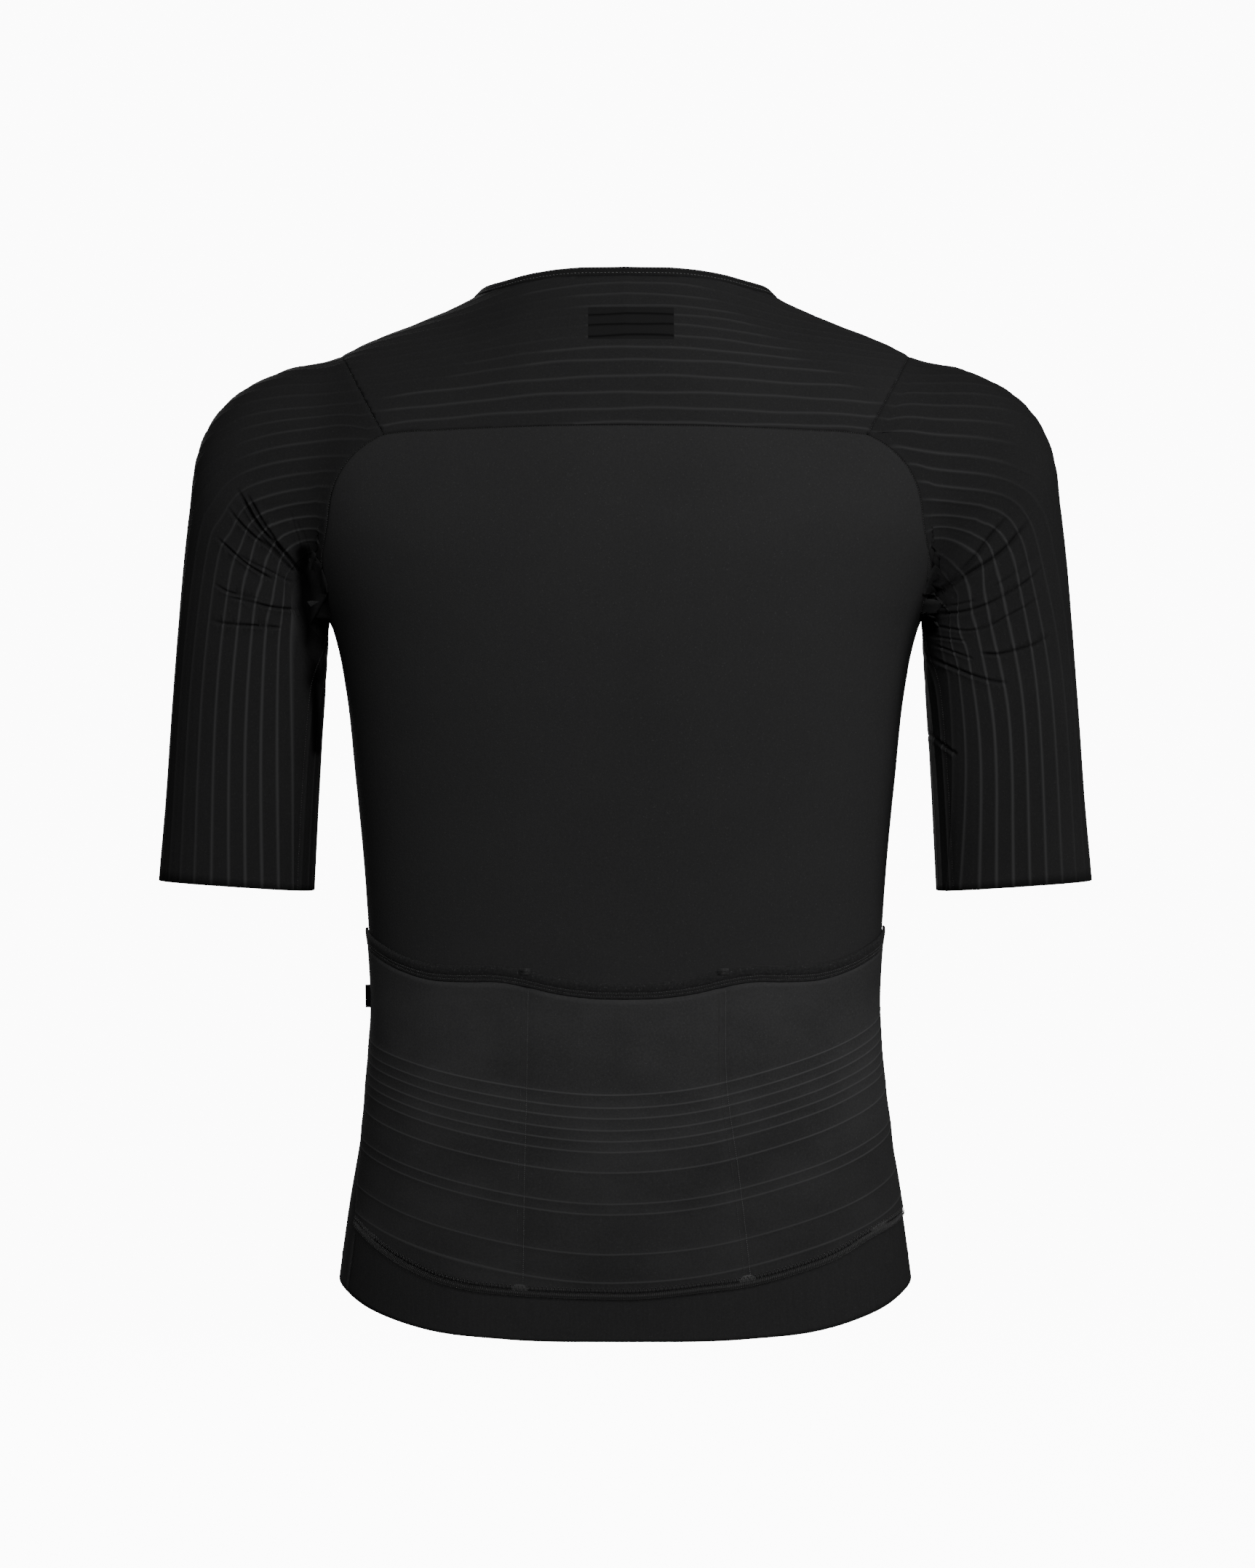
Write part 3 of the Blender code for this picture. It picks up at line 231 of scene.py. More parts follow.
seams = {
    "armholeBack": (
        (183.1, 0, -199.2), (186.0, 17, -190), (187.6, 34, -179), (186.0, 48, -168), (182.0, 57, -158.5),
        (178.0, 64, -144.4), (176.9, 67, -132), (172.4, 69, -119), (164.7, 72, -106.8), (152.5, 77, -96.0),
        (144.5, 80.5, -91.5),
    ),
    "armholeFront": (
        (144.5, 80.5, -91.5), (151.5, 71, -78.6), (158.7, 60, -65.4), (166.3, 44, -51.5), (173.5, 22, -38),
        (176.0, 2, -33.5), (173.5, -20, -38), (166.0, -42, -52), (160.5, -57, -72), (160.0, -65, -92),
        (166.0, -67, -110), (173.0, -66, -125), (177.5, -63.5, -141), (182.0, -57, -156),
        (186.0, -47, -167.5), (187.6, -34, -179), (186.0, -17, -190), (183.1, 0, -199.2),
    ),
    "sideTop": (182.0, 57, -158.5),
    "ridge": (176.0, 2, -33.5),
    "yokeFrontCorner": (166.0, -42, -52),
    "yokeFrontAtNeck": (91.0, -29.0, -14.0),
    "yoke": ((0, -89.1), (60, -89.4), (110, -90.0), (132, -90.4), (144.5, -91.5)),  # x, height
    "pocketTop": (  # degrees from the side, height
        (0, -386), (14.7, -396.9), (21.7, -402.8), (29, -407.4), (39.3, -408.5), (46.8, -408.2),
        (55, -410.6), (63, -414.2), (77, -417.6), (90, -418.2),
    ),
    "hem": (
        (0, -556), (8, -560), (14, -566), (23, -574.5), (31.5, -584.5), (42.4, -592.2), (53, -597),
        (65, -599.4), (90, -600.8),
    ),
    "hemEdge": (
        (-90, -560), (-60, -566), (-30, -583), (-10, -597), (0, -602), (11.8, -608), (21.9, -616.5),
        (36.7, -625.4), (53, -628.3), (90, -629.2),
    ),
    "side": (  # height, depth behind the middle on the left and on the right
        (-158.5, 57, 57), (-176, 45, 45), (-192, 34, 34), (-207, 21, 21), (-230, 11, 10), (-300, 8, 6),
        (-420, 8, 4), (-480, 10, 4), (-532, 27, 10), (-576, 38, 18), (-610, 39, 22), (-630, 39, 22),
    ),
    "neck": (
        (0, 66.0, 6.8), (24, 63.5, 6.7), (48, 56.0, 6.6), (70, 43.0, 5.2), (86, 24.0, 1.9),
        (94.2, 0.0, -0.8), (93.0, -22.0, -9.0), (83.0, -42.0, -27.0), (64.0, -60.0, -48.0),
        (36.0, -75.5, -66.0), (0.0, -83.0, -74.0),
    ),
    "binding": 9.8,
    "zipEdge": 6.5,
    "valley": (0.4, 0.9),  # depth of the cloth's dip along a seam, and how far to each side it reaches
}


def sideSeam(side):
    table = seams["side"]
    heights = np.linspace(table[0][0], table[-1][0], 240)
    depth = readTable(table, 1 if side > 0 else 2, heights)
    angles = np.degrees(np.arctan2(depth, readTable(figure["torso"], 1, heights)))
    for _ in range(5):
        points = around(angles, heights)
        angles = np.degrees(np.arctan2(depth, points[:, 0]))
    points[0] = onForm(np.array(seams["sideTop"]))
    return mirrored(points, side)


def anglesOf(points):
    return np.degrees(np.arctan2(points[..., 1], np.abs(points[..., 0])))


def fromSide(angle):
    # degrees from the nearer side seam, for tables that both sides share
    return np.where(angle > 90, 180 - angle, angle)


def lengthAt(line, table, lower=0.0):
    # how far along a line that runs down it passes a table's height
    over = line[:, 2] - readTable(table, 1, anglesOf(line)) + lower
    return np.interp(0, -over, lengthsAlong(line))


def acrossBack(table, lower=0.0, count=180):
    # a line across the back from the left side seam to the right one
    ends = [atLengths(sides[side], np.array([lengthAt(sides[side], table, lower)]))[0] for side in (1, -1)]
    angles = np.linspace(anglesOf(ends[0]), 180 - anglesOf(ends[1]), 181)
    heights = readTable(table, 1, fromSide(angles)) - lower
    line = evenly(around(angles, heights), count)
    line[0], line[-1] = ends
    return line


print("seams")
armBack, armFront = smoothLine(seams["armholeBack"]), smoothLine(seams["armholeFront"])
armhole = np.concatenate([armBack, armFront[1:]])
armPlaces = {
    "side": lengthTo(armhole, onForm(np.array(seams["sideTop"]))),
    "yokeBack": lengthsAlong(armBack)[-1],
    "ridge": lengthTo(armhole, onForm(np.array(seams["ridge"]))),
    "yokeFront": lengthTo(armhole, onForm(np.array(seams["yokeFrontCorner"]))),
    "end": lengthsAlong(armhole)[-1],
}
sides = {side: sideSeam(side) for side in (1, -1)}
neckHalf = smoothLine(seams["neck"])
neckEnd = lengthTo(neckHalf, onForm(np.array(seams["yokeFrontAtNeck"])))


def armStretch(start, end, spacing=2.0):
    first, last = armPlaces.get(start, 0.0), armPlaces[end]
    return atLengths(armhole, np.linspace(first, last, int((last - first) / spacing) + 1))


def neckStretch(start, end, spacing=2.0):
    return atLengths(neckHalf, np.linspace(start, end, int(abs(end - start) / spacing) + 1))


armOver = armStretch("yokeBack", "yokeFront")
neckInner = neckStretch(neckEnd, 0)
yokeFrontSeam = smoothLine((armOver[-1], (armOver[-1] + neckInner[0]) / 2, neckInner[0]))
yokeFrontLine = evenly(yokeFrontSeam, 40)  # the points that yoke and fronts share
yokeSeamX = np.linspace(seams["yoke"][-1][0], -seams["yoke"][-1][0], 181)
yokeSeam = facing(yokeSeamX, readTable(seams["yoke"], 1, np.abs(yokeSeamX)), 1)


def seamTree(lines):
    # finds the nearest of the points along all the sewn lines
    points = np.concatenate(lines)
    tree = KDTree(len(points))
    for index, point in enumerate(points):
        tree.insert(point, index)
    tree.balance()
    return tree


# Creases of the sleeves: how deep and how wide each one is, then x and height along it

creases = {
    "leftBehind": (
        (3.2, 0.75, ((235, -120.5), (230, -129), (225.5, -137.5), (219, -146.5), (206.5, -159.5), (193.5, -176))),
        (2.4, 0.65, ((229, -124.5), (224.5, -131.5), (221, -138), (217.5, -144), (213.5, -149.5), (205.5, -162))),
        (2.3, 0.65, (
            (240.5, -132.5), (235, -139.5), (230, -145), (223.5, -151),
            (216.5, -156), (208, -164), (199, -173),
        )),
        (1.0, 0.6, ((222.5, -149.5), (214.5, -156), (206.5, -163), (201.5, -168.5))),
        (1.8, 0.65, ((247.5, -150.5), (241.5, -156), (235.5, -161.5), (230, -166), (223.5, -170.5), (213.5, -176.5))),
        (1.1, 0.6, ((235.5, -160), (225.5, -166.5), (216.5, -170.5), (208, -175), (199, -179))),
        (1.2, 0.7, ((249.5, -178.5), (241, -183.5), (232, -186), (222.5, -188))),
        (1.7, 0.7, ((240, -187), (227.5, -189.5), (219, -192), (210, -193.5), (202.5, -194), (194.5, -194))),
        (1.6, 0.7, ((252.5, -200.5), (245, -202.5), (236.5, -203.5), (227.5, -204), (220, -204.5), (208, -205.5))),
        (1.0, 0.7, ((198, -223.5), (193.5, -222), (190, -218.5))),
        (0.5, 0.6, ((202.5, -134.5), (199, -147.5), (195.5, -159.5))),
        (0.5, 0.6, ((199, -139.5), (195, -152.5), (192, -164))),
        (0.5, 0.6, ((196, -144), (192.5, -155.5), (190, -164))),
    ),
    "rightBehind": (
        (1.7, 1.2, (
            (-232.5, -137), (-224.5, -146), (-218, -154), (-213, -161),
            (-206, -169), (-197.5, -177), (-183.5, -188),
        )),
        (1.9, 1.2, (
            (-245.5, -139.5), (-237, -149.5), (-230.5, -157), (-223, -163.5),
            (-206, -174), (-195.5, -181), (-186, -187),
        )),
        (1.4, 0.8, (
            (-254, -167.5), (-245.5, -175.5), (-237, -181.5), (-228, -187),
            (-215, -193), (-206, -195.5), (-186, -196.5),
        )),
        (0.7, 0.8, ((-251, -159.5), (-241.5, -168), (-232.5, -175), (-223, -181))),
        (1.6, 0.8, ((-258.5, -209.5), (-248, -215.5), (-237, -219), (-225, -221.5), (-215, -221))),
        (1.0, 0.7, ((-253.5, -185.5), (-243.5, -192), (-230.5, -199), (-219.5, -205), (-210.5, -207), (-186, -203))),
        (1.0, 0.6, ((-185.5, -193), (-199.5, -191.5), (-213, -189))),
        (0.9, 0.6, ((-185, -209), (-195.5, -211.5), (-207, -213.5))),
        (1.1, 0.6, ((-185.5, -213.5), (-197.5, -219), (-211.5, -224.5))),
        (1.6, 0.8, (
            (-183, -218.5), (-188.5, -223.5), (-194.5, -227), (-202, -230.5),
            (-213, -235), (-224, -238), (-232.5, -239),
        )),
        (1.6, 0.8, ((-186, -267), (-193, -275), (-202.5, -282.5))),
    ),
    "leftBefore": (
        (2.4, 2.2, ((240, -122), (231, -137), (219, -150), (205, -164), (195, -174))),
        (1.6, 1.9, ((250, -142), (239, -153), (225, -163), (210, -171))),
        (1.3, 1.8, ((255, -170), (240, -180), (221, -187), (203, -189))),
        (1.1, 1.9, ((258, -203), (240, -210), (219, -212), (198, -206))),
        (0.7, 1.4, ((212, -128), (206, -143), (200, -157))),
    ),
    "rightBefore": (
        (2.2, 2.2, ((-236, -126), (-229, -139), (-216, -153), (-200, -170))),
        (1.7, 1.9, ((-248, -136), (-240, -150), (-226, -164), (-206, -176))),
        (1.4, 1.9, ((-256, -178), (-238, -190), (-216, -197), (-198, -195))),
        (0.9, 1.7, ((-259, -214), (-240, -223), (-220, -226), (-203, -220))),
        (0.7, 1.3, ((-205, -130), (-201, -146), (-197, -158))),
    ),
    "sharp": 1.3,  # 1 is a cusp, 2 a round trough
    "ridge": 0.4,  # height of the roll beside a crease, in its depths
    "farRidge": 0.5,  # height of the one on its other side, in the first one's
    "rollPlace": 2.2,  # how far off the rolls are, in its widths
    "rollWidth": 1.2,
    "reach": 6.0,  # where a crease has died away, in its widths
    "full": 3.0,  # how far off it starts to die away, in its widths
    "finer": 2.4,  # how far the mesh is made finer beside a crease, in its widths
    "ends": (0.2, 0.1),  # shares of its length over which it starts and stops
    "turned": (0.35, 1.6),  # how much of it shows on cloth seen edge on, and what facing the crease's way adds
    "shadow": 3.6,  # depth at which the painted shadow at a crease's bottom turns black
    "shadowPower": 1.8,  # higher leaves the painted shadows of shallow creases lighter
    "shadowWidth": 0.85,  # the painted shadow's width, in the crease's widths
    "soft": (  # painted shadows by the armpits, where the cloth stays dark: width, then x and height along the line
        (5.0, ((195, -160), (194.5, -180), (193, -200))),
        (3.8, ((192.5, -198), (191.5, -216), (190.5, -236))),
        (2.2, ((190.5, -234), (190, -255), (190, -280))),
        (3.0, ((-188, -170), (-188, -190), (-188, -206))),
    ),
    "softReach": 2.5,  # where they have died away, in their widths
    "softEdge": 4,  # higher is more sudden
    # how black the painted armpit shadows get
    "softShade": 1.25,
    "softTurn": 2.5,  # how soon they go as the cloth turns to the front
}


def distanceTo(line, at):
    # distance from an open line, how far along it, from 0 to 1, and on which side
    line = np.array(line, float)
    starts, runs = line[:-1], np.diff(line, axis=0)
    sizes = np.hypot(*runs.T)
    before = np.concatenate([[0], np.cumsum(sizes)[:-1]])
    best, along, way = np.full(len(at), 1e9), np.zeros(len(at)), np.zeros(len(at))
    for start, run, size, done in zip(starts, runs, sizes, before):
        share = np.clip(((at - start) @ run) / size**2, 0, 1)
        away = at - start - share[:, None] * run
        distance = np.hypot(*away.T)
        nearer = distance < best
        best = np.where(nearer, distance, best)
        along = np.where(nearer, (done + share * size) / sizes.sum(), along)
        way = np.where(nearer, np.sign(run[0] * away[:, 1] - run[1] * away[:, 0]), way)
    return best, along, way


def curved(line, dense=8):
    # a smooth line through a crease's own points
    line = np.array(line, float)
    keys = np.concatenate([[0], np.cumsum(np.hypot(*np.diff(line, axis=0).T))])
    at = np.linspace(0, keys[-1], dense * (len(line) - 1) + 1)
    return np.stack([readTable(list(zip(keys, line[:, axis])), 1, at) for axis in (0, 1)], -1)


def bell(away, width):
    return np.exp(-((away / width) ** 2))


def inBox(plane, line, margin):
    return ((plane > line.min(0) - margin) & (plane < line.max(0) + margin)).all(1)


def creaseLift(points, normals):
    # how far creases move each point out, how dark the painted shadows in creases and by the armpits make it, and how
    # far it is from their sides
    lift, shadow, away = np.zeros(len(points)), np.zeros(len(points)), np.full(len(points), 99.0)
    plane = points[:, [0, 2]]
    for name, way in (("leftBehind", 1), ("rightBehind", 1), ("leftBefore", -1), ("rightBefore", -1)):
        weight = np.clip(creases["turned"][0] + normals[:, 1] * way * creases["turned"][1], 0, 1)
        for depth, width, line in creases[name]:
            line = curved(line)
            close = inBox(plane, line, width * creases["reach"]) & (weight > 0)
            if not close.any():
                continue
            distance, along, side = distanceTo(line, plane[close])
            start, stop = creases["ends"]
            fade = np.clip(along / start, 0, 1) * np.clip((1 - along) / stop, 0, 1)
            fade = fade * bell(np.clip(distance - width * creases["full"], 0, None), width) * weight[close]
            offset = distance * side / width
            trough = np.exp(-(np.abs(offset) ** creases["sharp"]))
            roll = bell(offset - creases["rollPlace"], creases["rollWidth"])
            roll += creases["farRidge"] * bell(offset + creases["rollPlace"], creases["rollWidth"])
            lift[close] += depth * fade * (creases["ridge"] * roll - trough)
            # painted shadow at the bottom of a crease, blacker for deeper ones
            dark = min(depth / creases["shadow"], 1.0) ** creases["shadowPower"] * fade
            shadow[close] = np.maximum(shadow[close], dark * bell(offset, creases["shadowWidth"]))
            away[close] = np.minimum(away[close], distance - width * creases["finer"])
    # painted shadows by the armpits, on cloth that faces behind
    behind = np.clip(1 + normals[:, 1] * creases["softTurn"], 0, 1)
    for width, line in creases["soft"]:
        line = np.array(line, float)
        close = inBox(plane, line, width * creases["softReach"])
        if close.any():
            distance = distanceTo(line, plane[close])[0]
            dark = behind[close] * np.exp(-((distance / width) ** creases["softEdge"])) * creases["softShade"]
            shadow[close] = np.maximum(shadow[close], dark)
    return lift, shadow, away


def seamLift(points):
    depth, width = seams["valley"]
    return -depth * bell(np.array([sewn.find(point)[2] for point in points]), width)


def lifted(points, extra=0.0):
    # points on the form moved out by creases, seams and the height given
    normals = outward(points)
    lift = seamLift(points) + extra + creaseLift(points, normals)[0]
    return points + normals * np.reshape(lift, (-1, 1))


# Shader maths


class Value:
    # one output of a node: arithmetic on it adds Math nodes
    def __init__(self, finish, socket):
        self.finish = finish
        self.socket = socket

    def math(self, operation, first, second):
        return self.finish.node("ShaderNodeMath", {"operation": operation}, {0: first, 1: second})

    def __add__(self, other):
        return self.math("ADD", self, other)

    def __sub__(self, other):
        return self.math("SUBTRACT", self, other)

    def __rsub__(self, other):
        return self.math("SUBTRACT", other, self)

    def __mul__(self, other):
        return self.math("MULTIPLY", self, other)

    def __gt__(self, other):
        return self.math("GREATER_THAN", self, other)

    def __lt__(self, other):
        return self.math("LESS_THAN", self, other)

    __radd__ = __add__
    __rmul__ = __mul__


class Finish:
    # a material, and the one method that adds nodes to it
    def __init__(self, name, fixed):
        self.material = bpy.data.materials.new(name)
        self.material.use_nodes = True
        self.tree = self.material.node_tree
        self.surface = self.tree.nodes["Principled BSDF"]
        for socket, value in fixed.items():
            self.surface.inputs[socket].default_value = value

    def node(self, kind, settings=None, inputs=None, output=0):
        added = self.tree.nodes.new(kind)
        for name, value in (settings or {}).items():
            if name == "stops":
                while len(added.color_ramp.elements) < len(value):
                    added.color_ramp.elements.new(1.0)
                for element, (place, level) in zip(added.color_ramp.elements, value):
                    element.position = place
                    element.color = (level, level, level, 1)
            else:
                setattr(added, name, value)
        for key, value in (inputs or {}).items():
            self.feed(added.inputs[key], value)
        return Value(self, added.outputs[output])

    def feed(self, socket, value):
        if isinstance(value, Value):
            self.tree.links.new(value.socket, socket)
        else:
            socket.default_value = value

    def place(self):
        # where on the piece, in metres
        return self.node("ShaderNodeTexCoord", output=3)

    def along(self, place, axis):
        return self.node("ShaderNodeSeparateXYZ", {}, {0: place}, output=axis)

    def noise(self, place, scale, detail=2.0):
        return self.node("ShaderNodeTexNoise", {}, {"Vector": place, "Scale": scale, "Detail": detail})

    def stretched(self, place, factors):
        return self.node("ShaderNodeVectorMath", {"operation": "MULTIPLY"}, {0: place, 1: factors})

    def mixed(self, share, first, second):
        inputs = {0: share, 6: (*first, 1) if isinstance(first, tuple) else first}
        inputs[7] = (*second, 1) if isinstance(second, tuple) else second
        return self.node("ShaderNodeMix", {"data_type": "RGBA"}, inputs, output=2)

    def attribute(self, name):
        return self.node("ShaderNodeAttribute", {"attribute_name": name}, output=2)

    def bump(self, height, distance, strength=1.0):
        inputs = {"Height": height, "Distance": distance, "Strength": strength}
        self.feed(self.surface.inputs["Normal"], self.node("ShaderNodeBump", {}, inputs))


def grey(level):
    # a shade near black, given as its level from 0 to 255 on a screen
    linear = (level / 255 + 0.055) ** 2.4 / 1.055**2.4 if level > 10 else level / 255 / 12.92
    return (linear, linear, linear * 1.015)


plainCloth = {
    "spread": 0.3,  # how much lighter and darker than its shade a cloth gets
    "fleck": 46,  # shade of single bright fibres
    "line": 60,  # shade of light yarn
    "roughness": 0.85,
    "sheen": 0.0,
    "gloss": 0.03,
    "speckle": 0.4,  # how much fine grain, soft patches and knitted columns count
    "mottle": 0.3,
    "wale": 0.1,
    "bump": 0.0002,  # metres
}
ownLooks = {  # what differs from plain cloth, and its shade, as the level from 0 to 255 on a screen
    "sleeveRib": {"shade": 29.5, "fleck": 44, "line": 49, "fold": 0.75},  # the last one: how black the painted shadows of creases and armpits get
    "inside": {
        "shade": 30, "spread": 0.25, "fleck": 40, "line": 30, "roughness": 0.9, "gloss": 0.02, "mottle": 0.2,
        "wale": 0.2,
    },
    "body": {"shade": 37.5, "fleck": 54, "speckle": 0.32, "mottle": 0.16, "wale": 0.06},
    "rib": {"shade": 32, "line": 46},
    "pocket": {
        "shade": 41, "spread": 0.45, "fleck": 60, "line": 62, "roughness": 0.8, "gloss": 0.04, "speckle": 0.35,
        "mottle": 0.6, "wale": 0.0, "bump": 0.00025,
        "lower": (0.3, -0.46, -0.56),  # how much darker it gets lower down, from and to these heights in metres
    },
    "elastic": {"shade": 33.5, "fleck": 47, "roughness": 0.8, "mottle": 0.35, "wale": 0.2},
    "edging": {"shade": 25, "fleck": 38, "roughness": 0.8, "mottle": 0.35, "wale": 0.2},
    "binding": {
        "shade": 30, "spread": 0.5, "fleck": 72, "roughness": 0.9, "sheen": 0.02, "speckle": 0.8, "bump": 0.0004,
    },
    "tape": {"shade": 26, "fleck": 40, "gloss": 0.04, "speckle": 0.5, "mottle": 0.2, "wale": 0.5},
    "tabCloth": {"shade": 12, "fleck": 22, "gloss": 0.04, "speckle": 0.5, "mottle": 0.2, "wale": 0.5},
}
knit = {  # sizes of the noises in turns a metre, and how they are stretched
    "speckle": 780.0,
    "wales": 620.0,
    "waleStretch": (1.0, 1.0, 0.06),
    "mottle": 15.0,
    "mottleStretch": (1.0, 1.0, 1.6),
    "flecks": 1150.0,
    "fleckAbove": 0.7,
    "fleckShare": 0.5,
    "sheenRoughness": 0.45,
    "bumpShares": (0.6, 0.4),  # of the speckle and of the wales
    "bumpStrength": 0.7,
}
black = (0.0, 0.0, 0.0)
neckPatch = {  # a smoother patch on the yoke: its sides and heights in metres
    "x": (-0.029, 0.0221),
    "z": (-0.0364, -0.0158),
    "shade": 26,
    "line": 10,
}


def clothFinish(name, kind):
    look = {**plainCloth, **ownLooks[kind]}
    fixed = {"Roughness": look["roughness"], "Sheen Weight": look["sheen"], "Sheen Roughness": knit["sheenRoughness"]}
    fixed["Specular IOR Level"] = look["gloss"]
    finish = Finish(name, fixed)
    place = finish.place()
    speckle = finish.noise(place, knit["speckle"], 3.0)
    wales = finish.noise(finish.stretched(place, knit["waleStretch"]), knit["wales"])
    mottle = finish.noise(finish.stretched(place, knit["mottleStretch"]), knit["mottle"], 4.0)
    flecks = finish.noise(place, knit["flecks"], 1.0) > knit["fleckAbove"]
    tone = 0.5 + (speckle - 0.5) * look["speckle"] + (mottle - 0.5) * look["mottle"] + (wales - 0.5) * look["wale"]
    dark, light = grey(look["shade"] * (1 - look["spread"])), grey(look["shade"] * (1 + look["spread"]))
    colour = finish.mixed(tone, dark, light)
    colour = finish.mixed(flecks * knit["fleckShare"], colour, grey(look["fleck"]))
    line = finish.attribute("line")
    colour = finish.mixed(line, colour, grey(look["line"]))
    # painted shadows of creases and armpits, mixed towards black
    if "fold" in look:
        colour = finish.mixed(finish.attribute("fold") * look["fold"], colour, black)
    if kind == "rib":
        across, deep, height = (finish.along(place, axis) for axis in range(3))
        inside = (across > neckPatch["x"][0]) * (across < neckPatch["x"][1]) * (deep > 0)
        inside = inside * (height > neckPatch["z"][0]) * (height < neckPatch["z"][1])
        plain = finish.mixed(line, grey(neckPatch["shade"]), grey(neckPatch["line"]))
        colour = finish.mixed(inside, colour, plain)
    if "lower" in look:
        amount, top, bottom = look["lower"]
        span = {0: finish.along(place, 2), 1: top, 2: bottom, 3: 0.0, 4: amount}
        colour = finish.mixed(finish.node("ShaderNodeMapRange", {"clamp": True}, span), colour, black)
    finish.feed(finish.surface.inputs["Base Color"], colour)
    finish.bump(speckle * knit["bumpShares"][0] + wales * knit["bumpShares"][1], look["bump"], knit["bumpStrength"])
    return finish.material


thread = {"twist": 2200.0, "spread": 0.2, "roughness": 0.6, "sheen": 0.1, "bump": 0.0001, "bumpStrength": 0.5}


def threadFinish(name, level):
    finish = Finish(name, {"Roughness": thread["roughness"], "Sheen Weight": thread["sheen"]})
    twist = finish.noise(finish.place(), thread["twist"])
    colour = finish.mixed(twist, grey(level * (1 - thread["spread"])), grey(level * (1 + thread["spread"])))
    finish.feed(finish.surface.inputs["Base Color"], colour)
    finish.bump(twist, thread["bump"], thread["bumpStrength"])
    return finish.material


hardParts = {
    "peel": 1600.0,
    "wear": 260.0,
    "shades": (0.8, 1.35),  # where least and most worn, in its own shade
    "wearGloss": 0.25,
    "bump": 0.00004,
    "bumpStrength": 0.4,
    "coat": {"Coat Weight": 0.15, "Coat Roughness": 0.3},
}


def hardFinish(name, level, roughness, metallic):
    # moulded or painted parts: fine orange peel, and wear that shines a little more
    finish = Finish(name, {"Metallic": metallic, **hardParts["coat"]})
    place = finish.place()
    peel = finish.noise(place, hardParts["peel"])
    wear = finish.noise(place, hardParts["wear"], 4.0)
    shades = [grey(level * share) for share in hardParts["shades"]]
    finish.feed(finish.surface.inputs["Base Color"], finish.mixed(wear, *shades))
    finish.feed(finish.surface.inputs["Roughness"], roughness + (wear - 0.5) * hardParts["wearGloss"])
    finish.bump(peel, hardParts["bump"], hardParts["bumpStrength"])
    return finish.material


print("finishes")
finishes = {
    "body": clothFinish("knit", "body"),
    "rib": clothFinish("ribbedKnit", "rib"),
    "sleeveRib": clothFinish("sleeveKnit", "sleeveRib"),
    "inside": clothFinish("insideKnit", "inside"),
    "pocket": clothFinish("pocketKnit", "pocket"),
    "elastic": clothFinish("elasticBand", "elastic"),
    "binding": clothFinish("brushedBinding", "binding"),
    "tape": clothFinish("zipTape", "tape"),
    "edging": clothFinish("neckEdging", "edging"),
    "tabCloth": clothFinish("tabCloth", "tabCloth"),
    "thread": threadFinish("thread", 30),
    "lightThread": threadFinish("lightThread", 72),
    "softThread": threadFinish("softThread", 52),
    "darkThread": threadFinish("darkThread", 7),
    "coil": hardFinish("nylonCoil", 22, 0.45, 0.0),
    "slider": hardFinish("paintedSlider", 30, 0.38, 0.5),
}


# Pieces

clothWall = 0.8


def addMesh(name, points, faces, finish, smooth=True):
    mesh = bpy.data.meshes.new(name)
    mesh.from_pydata((np.asarray(points) * mm).tolist(), [], faces)
    mesh.materials.append(finishes[finish])
    piece = bpy.data.objects.new(name, mesh)
    bpy.context.scene.collection.objects.link(piece)
    if smooth:
        mesh.shade_smooth()
    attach(piece, body)
    return piece


def addCloth(name, points, faces, finish, slot, replaced, lines=None, wall=clothWall, paintedShades=None):
    # a thin shell whose outer face is the given surface
    centre = points[np.array(faces[len(faces) // 2][:3])]
    normal = np.cross(centre[1] - centre[0], centre[2] - centre[0])
    if (normal * outward(centre.mean(0)[None])[0]).sum() < 0:
        faces = [face[::-1] for face in faces]
    piece = addMesh(name, points, faces, finish)
    # per point: light yarn, on ribs partly a painted highlight, and painted shadows of creases and armpits
    for label, values in (("line", lines), ("fold", paintedShades)):
        weights = piece.data.attributes.new(label, "FLOAT", "POINT")
        weights.data.foreach_set("value", np.zeros(len(points)) if values is None else np.asarray(values, float))
    shell = piece.modifiers.new("wall", "SOLIDIFY")
    shell.thickness = wall * mm
    shell.offset = -1
    shell.use_even_offset = False
    piece.data.materials.append(finishes["inside"])
    shell.material_offset = 1
    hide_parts(*replaced)
    return piece


def addGrid(name, grid, *rest, **more):
    # cloth over a grid of points
    return addCloth(name, grid.reshape(-1, 3), gridFaces(*grid.shape[:2]), *rest, **more)


def threadMesh(name, starts, ends, normals, finish, thick=0.2, bow=0.15, slot="elastic"):
    # short threads between pairs of points, thick and bowed out at the middle by so many mm
    starts, ends, normals = (np.asarray(part, float) for part in (starts, ends, normals))
    run = unit(ends - starts)
    across = unit(np.cross(run, normals))
    up = np.cross(across, run)
    rings = []
    for share, size in ((0.0, 0.5), (0.5, 1.0), (1.0, 0.5)):
        middle = starts + (ends - starts) * share + up * (bow * math.sin(math.pi * share))
        for turn in (45, 135, 225, 315):
            angle = math.radians(turn)
            rings.append(middle + (across * math.cos(angle) + up * math.sin(angle)) * thick * size)
    points = np.stack(rings, 1).reshape(-1, 3)
    one = []
    for ring in (0, 4):
        for corner in range(4):
            after = (corner + 1) % 4
            one.append((ring + corner, ring + after, ring + 4 + after, ring + 4 + corner))
    one += [(3, 2, 1, 0), (8, 9, 10, 11)]
    faces = [tuple(12 * index + corner for corner in face) for index in range(len(starts)) for face in one]
    return addMesh(name, points, faces, finish)


